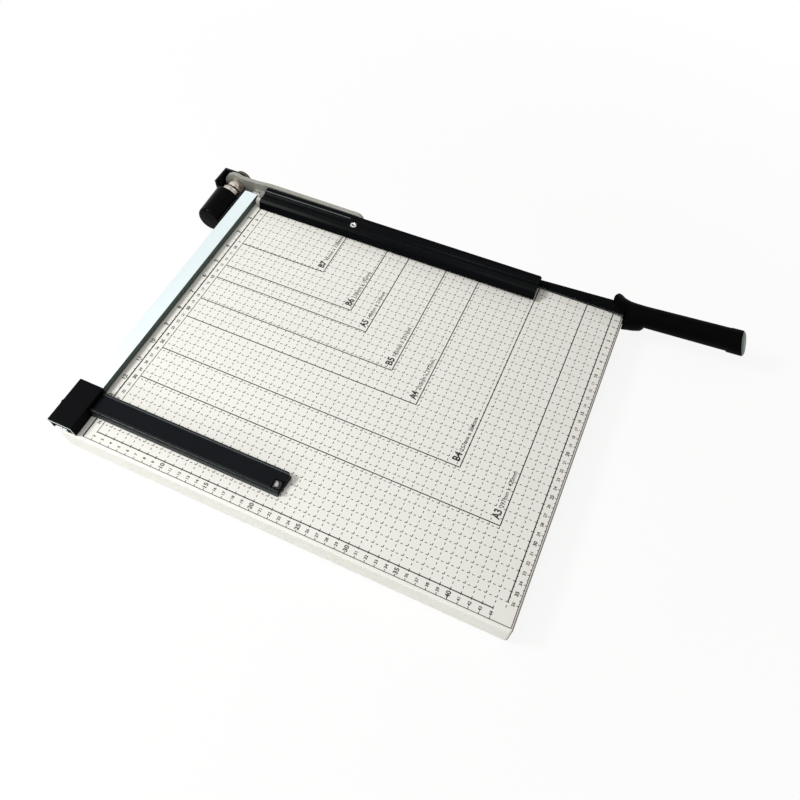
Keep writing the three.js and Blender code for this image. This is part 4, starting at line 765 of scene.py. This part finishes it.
def make_bracket():
    """A folded bracket: floor, far wall with a sloping top, left wall, ear and a flange on the table."""
    low, high = extent("pivot_bracket")
    sheet, flange_sheet, ear_top, ear_radius = 2.5, 2, 3, 10
    ear_near, flange_top, flange_length = -14, 7, 52
    ear_far = ear_near + sheet
    slope_start, slope_end, low_top = -42, -24, 0
    floor = block((low.x, high.x), (ear_near, high.y), (low.z, low.z + sheet))
    far_wall = prism([(low.x, low.z), (high.x - flange_sheet, low.z), (high.x - flange_sheet, low_top),
                      (slope_end, low_top), (slope_start, high.z), (low.x, high.z)], "Y",
                     high.y - sheet, high.y)
    left_wall = block((low.x, low.x + sheet), (ear_near, high.y), (low.z, high.z))
    ear = block((low.x, high.x), (ear_near, ear_far), (low.z, ear_top))
    knob = turned(rod(ear_radius, ear_near, ear_far), "Y", AXLE)
    flange = block((high.x - flange_sheet, high.x), (ear_near - flange_length, ear_far),
                   (low.z, flange_top))
    bm = carve(floor, [far_wall, left_wall, ear, knob, flange], "UNION")
    bm = carve(bm, [turned(rod(BORE, ear_near - 5, high.y + 5), "Y", AXLE)])
    round_edges(bm, 0.6, 3, 40, longer(3))
    piece("pivot_bracket_folded", bm, green_enamel, "base", "pivot_bracket")
    for i, name in enumerate(copies("bracket_screw", 2)):
        low, high = extent(name)
        screw(f"bracket_screw_pan_{i + 1}", name, "base", "X", middle(low, high, "X"), tip=high.x,
              top=low.x, shank=2.5, head=4.4)


# Cutting arm


# The arm bar's thickness and its middle, its top at the left end, and where its full depth ends.
BAR_THICKNESS = 4.5
BAR_MIDDLE = GAP + BAR_THICKNESS / 2
BAR_TOP, BAR_END = 8.7, 446


def make_root():
    """The cast root, a plate with a boss, a neck and a flange behind the arm bar, and its bolts."""
    low, high = extent("arm_root")
    bar_low, _ = extent("arm_bar")
    thickness, boss_radius, root_radius, neck_x, neck_z, shoulder_x = 5.2, 11.5, 17, -10, 13.8, 12
    near, far, top, end, tail_z, corner = low.y, low.y + thickness, high.z, high.x, -12, 8
    neck = math.degrees(math.asin((neck_z - PIVOT.z) / root_radius))
    outline = [*arc(AXLE, root_radius, neck, 270, 32), (end, tail_z), (end, top - corner),
               *arc((end - corner, top - corner), corner, 10, 90, 6), (shoulder_x, top), (neck_x, neck_z)]
    plate = prism(outline, "Y", near, far)
    boss = turned(rod(boss_radius, far - 1, high.y), "Y", AXLE, 64)
    flange_left, flange_top, flange_low, flange_half, past = 30, 5, 4, 2.4, 5
    flange = prism([(flange_left, tail_z - flange_low), (end, tail_z), (end, flange_top),
                    (flange_left, flange_top)], "Y", far - flange_half, far + flange_half)
    blade_thickness, blade_left, blade_top, below = 2.5, -8.3, -2.7, -40
    seat = block((bar_low.x - GAP, end + past), (near - past, near + BAR_THICKNESS + GAP),
                 (below, BAR_TOP + GAP))
    blade_seat = block((blade_left, bar_low.x + 1), (near - past, near + blade_thickness),
                       (below, blade_top))
    bore = turned(rod(BORE, near - past, high.y + past), "Y", AXLE)
    bm = carve(carve(plate, [boss, flange], "UNION"), [seat, blade_seat, bore])
    round_edges(bm, 0.5, 2, 30, longer(1.5))
    piece("arm_root_casting", bm, grey_casting, "arm", "arm_root")
    for name in copies("arm_bolt", 3):
        low, high = extent(name)
        screw(f"{name}_pan", name, "arm", "Y", middle(low, high, "Y"), tip=low.y, top=high.y, shank=3,
              head=5.2)


def grip_axis(x):
    """Height of the handle's axis, which climbs away from the pivot."""
    return 1 + (x - BAR_END) * 0.088


def make_bar():
    """The arm bar, with a curved lower edge, a rising end and a tang in the handle, and its blade."""
    low, high = extent("arm_bar")
    _, blade_high = extent("moving_blade")
    top_middle, top_right, middle_x = 6.4, 12.6, 362
    left_depth, middle_depth, right_depth, tang, steps, past, below = 13, 11, 4, 9, 12, 5, -40
    under = []
    for step in range(steps + 1):
        x = low.x + (BAR_END - low.x) * step / steps
        t = (x - low.x) / (BAR_END - low.x)
        depth = (1 - t) ** 2 * left_depth + 2 * t * (1 - t) * middle_depth + t * t * right_depth
        under.append((x, -depth))
    outline = [*under, (high.x, grip_axis(high.x) - tang / 2), (high.x, grip_axis(high.x) + tang / 2),
               (BAR_END + tang, grip_axis(BAR_END + tang) + tang / 2), (BAR_END, top_right),
               (middle_x, top_middle), (low.x, BAR_TOP)]
    bm = prism(outline, "Y", low.y, high.y)
    bm = carve(bm, [block((low.x - past, blade_high.x + GAP), (low.y - past, blade_high.y + GAP),
                          (below, blade_high.z + GAP))])
    round_edges(bm, 0.5, 3, 30, longer(3))
    piece("arm_bar_strip", bm, black_enamel, "arm", "arm_bar")
    head, shank, height = 3.4, 1.8, 1.4
    for name in copies("blade_rivet", 4):
        low, high = extent(name)
        bm = turned([(0, low.y), (shank, low.y), (shank, high.y - height), (head, high.y - height),
                     (head * 0.93, high.y - height * 0.55), (head * 0.7, high.y - height * 0.2),
                     (head * 0.4, high.y), (0, high.y)], "Y", middle(low, high, "Y"), 32)
        piece(f"{name}_domed", bm, bright_zinc, "arm", name)


# Handle


def ring(bm, x, half_width, upper, lower, slant, sides=48):
    """A loop of edges round the handle at x, which reaches by upper and lower above and below its axis.

    The loop leans back by the slant."""
    made = bmesh.ops.create_circle(bm, segments=sides, radius=1)["verts"]
    height, rise = (upper + lower) / 2, (upper - lower) / 2
    lean = Matrix(((0, -slant * height, 0, x - slant * rise), (half_width, 0, 0, BAR_MIDDLE),
                   (0, height, 0, grip_axis(x) + rise), (0, 0, 0, 1)))
    bmesh.ops.transform(bm, matrix=lean, verts=made)
    return [e for e in bm.edges if e.verts[0] in made and e.verts[1] in made]


def loft(rings):
    """A closed skin over loops given as arguments of ring()."""
    bm = bmesh.new()
    loops = [ring(bm, *values) for values in rings]
    for a, b in zip(loops, loops[1:]):
        bmesh.ops.bridge_loops(bm, edges=a + b)
    for loop in (loops[0], loops[-1]):
        bmesh.ops.contextual_create(bm, geom=loop)
    return outward(bm)


def make_handle():
    """The grip with its flaring guard, cut away beside the table, and the plug in its end."""
    guard_x, guard, guard_length, guard_slant = 457.5, 19.3, 25, 0.54
    neck_width, neck_height, end_width, end_height = 10.9, 12.4, 12.3, 13.9
    end, end_slant, flare, rim, over = 585, 0.43, 570.5, 0.9, 0.1
    # The guard's outline: places along its length, and its reach above and below the axis, as shares.
    places = [-0.17, -0.08, 0, 0.14, 0.4, 0.7, 0.84]
    uppers = [0.86, 0.94, 0.91, 0.77, 0.67, 0.64, 0.64]
    lowers = [0.92, 1.06, 1.09, 1.1, 1.08, 0.96, 0.8]
    rings = []
    for place, upper, lower in zip(places, uppers, lowers):
        width = max(neck_width, guard * upper - (neck_height - neck_width))
        rings.append((guard_x + guard_length * place, width + guard * (lower - upper) / 4, guard * upper,
                      guard * lower, guard_slant))
    rings += [(guard_x + guard_length, neck_width, neck_height, neck_height, guard_slant / 2),
              ((guard_x + flare) / 2 + 10, neck_width + 0.3, neck_height + 0.8, neck_height + 0.3, 0),
              (flare, end_width - rim, end_height - over, end_height - rim, end_slant / 2),
              (flare + rim, end_width, end_height, end_height, end_slant / 2),
              (end, end_width, end_height, end_height, end_slant)]
    bm = loft(rings)
    table_side, turn, turn_y, cut_left, cut_near, cut_half = 463.7, 7.5, -10.5, guard_x - 60, -100, 62
    beside_table = prism([(cut_left, GAP), (table_side, GAP),
                          *arc((table_side + turn, turn_y), turn, 180, 270, 8),
                          (table_side + turn, cut_near), (cut_left, cut_near)], "Z", -cut_half, cut_half)
    stem, depth, past = 0.55, 9, 5
    hole = (end_width * stem + GAP, end_height * stem + GAP, end_height * stem + GAP, end_slant)
    bm = carve(bm, [beside_table, loft([(end - depth, *hole), (end + past, *hole)])])
    round_edges(bm, 0.5, 3, 50, longer(0.5))
    piece("handle_grip_moulded", bm, black_plastic, "arm", "handle_grip")

    face, inset, bulge = end + GAP, 0.8, 2.2
    cap = []
    for x, share in ((end - depth + GAP, stem), (face, stem), (face + 0.1, 0.985), (face + bulge * 0.3, 1),
                     (face + bulge * 0.6, 0.93), (face + bulge * 0.85, 0.8), (face + bulge, 0.55)):
        width, height = (end_width - inset) * share, (end_height - inset) * share
        cap.append((x, width, height, height, end_slant))
    piece("handle_end_plug", loft(cap), pale_plastic, "arm", "handle_end_cap")


# Clamp


def make_clamp():
    """The folded clamp with its screw and spring, and the tab at its left end."""
    left, right, rear, width, top, wall = 9.2, 363, -0.3, 24.8, 14.2, 1.5
    # Its folds: distances from the rear as shares of its width, and their heights.
    shares = [1, 0.985, 0.87, 0.7, 0.54, 0.44, 0.3, 0.25]
    heights = [0.6, 2.1, 8.9, 11.4, 10.4, 10.4, 12.2, top]
    folds = [rear - width * share for share in shares]
    outside = [*zip(folds, heights), (rear, top), (rear, heights[0])]
    inside = [(rear - wall, heights[0]), (rear - wall, top - wall), (folds[7] + wall / 4, top - wall),
              (folds[6] + wall / 2, heights[4] - wall), (folds[3], heights[3] - wall),
              (folds[2] + wall / 2, heights[2] - wall), (folds[1] + wall, heights[1] - wall / 2),
              (folds[0] + wall, heights[0])]
    bm = prism(outside + inside, "X", left, right)
    screw_x, screw_y = 132.5, rear - 11.5
    centre, past, over = (screw_x, screw_y), 5, 30
    bore, bore_low, seat, seat_low = 3.4, 5, 4.2, 10.1
    cutters = [turned(rod(bore, bore_low, over), "Z", centre),
               turned(rod(seat, seat_low, over), "Z", centre)]
    for x, way, bevel in ((right, 1, 2.4), (left, -1, 0.5)):
        cutters.append(prism([(x - way * bevel, top + GAP), (x + way * past, top + GAP),
                              (x + way * past, top - bevel - past), (x, top - bevel)], "Y", -40, past))
    round_edges(bm, 1.4, 5, 8, along("X", 100))
    bm = carve(bm, cutters)
    # The top fold carries a painted highlight from the left end to just before the screw.
    highlight_end = screw_x - 6
    bmesh.ops.bisect_plane(bm, geom=[*bm.verts, *bm.edges, *bm.faces], dist=SLIVER,
                           plane_co=(highlight_end, 0, 0), plane_no=(1, 0, 0))

    def rubbed(face):
        place = face.calc_center_median()
        return (abs(place.y - folds[7]) < 0.9 and place.x < highlight_end
                and -0.8 < face.normal.y < -0.12 and face.normal.z > 0.3)

    # Painted highlight: the faces of the top fold left of the screw take the lighter dark grey.
    piece("clamp_bar_folded", bm, black_enamel, "clamp", "clamp_bar", tilted=True,
          second=(painted_highlight_black, rubbed))
    well, well_low, apart = 5.0, 2.4, 0.05
    bm = turned(tube(bore, well, well_low, seat_low - apart), "Z", centre)
    piece("clamp_spring_well", bm, black_enamel, "clamp", tilted=True)
    # The ring round the screw, as (radius, height over the screw's head) points.
    shank, head_top = 1.5, 10.4
    section = [(shank, 0), (4, 0), (4, 0.3), (3.4, 1), (2.2, 1.1), (shank, 0.6), (shank, 0)]
    bm = turned([(radius, head_top + rise) for radius, rise in section], "Z", centre, 56)
    piece("clamp_washer_ring", bm, bright_zinc, "clamp", "clamp_washer", tilted=True)
    screw("clamp_screw_pan", "clamp_screw", "arm", "Z", centre, tip=0.9, top=head_top, shank=shank,
          head=3.2, material=black_enamel, tilted=True)
    spring = make_spring("clamp_spring_coil", "clamp_spring", "arm", "Z", start=(screw_x, screw_y, 3.9),
                         length=4.8, radius=2.7, wire=0.35, curls=3, tilted=True)
    low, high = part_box("clamp_spring")
    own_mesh(spring)

    tab_left, tab_low, tab_gap, tab_sheet = 3.8, 8.0, 0.3, 1.4
    path = [*list(zip(folds, heights))[1:6], (rear - width * 0.28, heights[3])]
    under = [(y + (tab_sheet if i < 3 else 0), z - tab_sheet) for i, (y, z) in enumerate(path)]
    bm = prism(path + under[::-1], "X", tab_left, left - tab_gap)
    bm = carve(bm, [prism([(tab_left - 1, -1), (tab_low, -1), (tab_left - 1, tab_low)], "Y", -40, past)])
    round_edges(bm, 0.3, 2, 50)
    piece("clamp_end_tab_pressed", bm, pressed_steel, "clamp", "clamp_end_tab", tilted=True)


def finish_kept():
    """Gives better finishes to the nodes of the CAD model that are shown as they are."""
    zinc = [*copies("fixed_blade_screw", 4), *copies("guide_rail_screw", 2), *copies("stop_arm_screw", 2),
            *copies("bracket_nut", 2), "pivot_nut", "arm_stop", "handle_pin", "clamp_guide_pin"]
    steel = ["moving_blade", "stop_spring", *copies("clamp_carrier", 2)]
    for names, material in ((zinc, bright_zinc), (steel, blade_steel), (["clamp_pad"], grey_rubber)):
        for name in names:
            mesh = frame["nodes"][name].data
            mesh.materials.clear()
            mesh.materials.append(material)


make_table()
make_grid()
make_lines()
make_numbers()
make_labels()
make_underside()
make_fixed_blade()
make_rail()
make_saddle()
make_stop_arm()
make_bracket()
make_pivot()
make_root()
make_bar()
make_handle()
make_clamp()
finish_kept()


# Studio


def seen_directly(material):
    """1 for what the camera sees straight, mirrored or through glass, and 0 for light on a surface."""
    paths = add(material, "LightPath").outputs
    seen = paths["Is Camera Ray"]
    for ray in ("Is Glossy Ray", "Is Transmission Ray"):
        seen = add(material, "Math", {0: seen, 1: paths[ray]}, operation="MAXIMUM").outputs[0]
    return seen


def make_floor():
    """A floor that shows white to the camera, but for a share near the trimmer that keeps its shadow."""
    near, far, near_share = 0.35, 0.9, 0.88
    material, output = finish_named("white_studio_floor")
    place = add(material, "TexCoord").outputs["Object"]
    away = add(material, "VectorMath", {0: place}, operation="LENGTH").outputs["Value"]
    white = add(material, "MapRange",
                {"Value": away, "From Min": near, "From Max": far, "To Min": near_share, "To Max": 1.0})
    share = add(material, "Math", {0: seen_directly(material), 1: white.outputs["Result"]},
                operation="MULTIPLY")
    paper = add(material, "BsdfDiffuse", {"Color": colour("#f4f4f2")})
    glow = add(material, "Emission", {"Color": (1, 1, 1, 1), "Strength": 1.0})
    mixed = add(material, "MixShader",
                {0: share.outputs[0], 1: paper.outputs[0], 2: glow.outputs[0]})
    material.node_tree.links.new(mixed.outputs[0], output.inputs["Surface"])
    bm = bmesh.new()
    bmesh.ops.create_grid(bm, x_segments=1, y_segments=1, size=3)
    floor = stood("floor", bm)
    floor.data.materials.append(material)


def make_world():
    """Soft light from all round; the camera and mirrors see plain white."""
    world = bpy.data.worlds.new("studio")
    bpy.context.scene.world = world
    world.use_nodes = True
    world.node_tree.nodes.clear()
    soft = add(world, "Background", {"Color": colour("#fffcf8"), "Strength": 0.3})
    white = add(world, "Background", {"Color": (1, 1, 1, 1), "Strength": 1.0})
    mixed = add(world, "MixShader",
                {0: seen_directly(world), 1: soft.outputs[0], 2: white.outputs[0]})
    output = add(world, "OutputWorld")
    world.node_tree.links.new(mixed.outputs[0], output.inputs["Surface"])


def make_lamp(name, place, target, size, power):
    """A rectangular lamp that faces its target. Places and sizes are in metres, power in watts."""
    light = bpy.data.lights.new(name, "AREA")
    light.shape = "RECTANGLE"
    light.size, light.size_y = size
    light.energy = power
    lamp = placed(name, light)
    lamp.location = place
    lamp.rotation_euler = (Vector(target) - Vector(place)).to_track_quat("-Z", "Y").to_euler()


def make_camera():
    """The photograph's viewpoint, fitted to the printed grid: above and in front of the table."""
    place = (0.15981, -0.35234, 0.63265)
    forward = Vector((-0.20917, 0.46908, -0.85803))
    upward = Vector((-0.35430, 0.78147, 0.51360))
    right = forward.cross(upward)
    camera = placed("camera", bpy.data.cameras.new("camera"))
    camera.data.sensor_width = 36
    camera.data.lens = 30.495
    camera.data.clip_start = 0.01
    turn = Matrix((right, upward, -forward)).transposed().to_4x4()
    camera.matrix_world = Matrix.Translation(place) @ turn
    bpy.context.scene.camera = camera


make_floor()
make_world()
make_lamp("key_softbox", (-0.98, -0.5, 1.22), (-0.05, 0, 0), (0.4, 0.4), 16.8)
make_lamp("top_strip", (-0.3, -0.1, 1.4), (0, 0.1, 0), (1.3, 0.1), 4.0)
make_lamp("back_strip", (-0.45, 1.25, 0.7), (0, 0.15, 0), (1.3, 0.12), 1)
make_lamp("front_softbox", (-0.5, -1.6, 0.45), (-0.1, 0, 0), (1.3, 0.5), 5.6)
make_camera()

bpy.context.scene.view_settings.view_transform = "Standard"
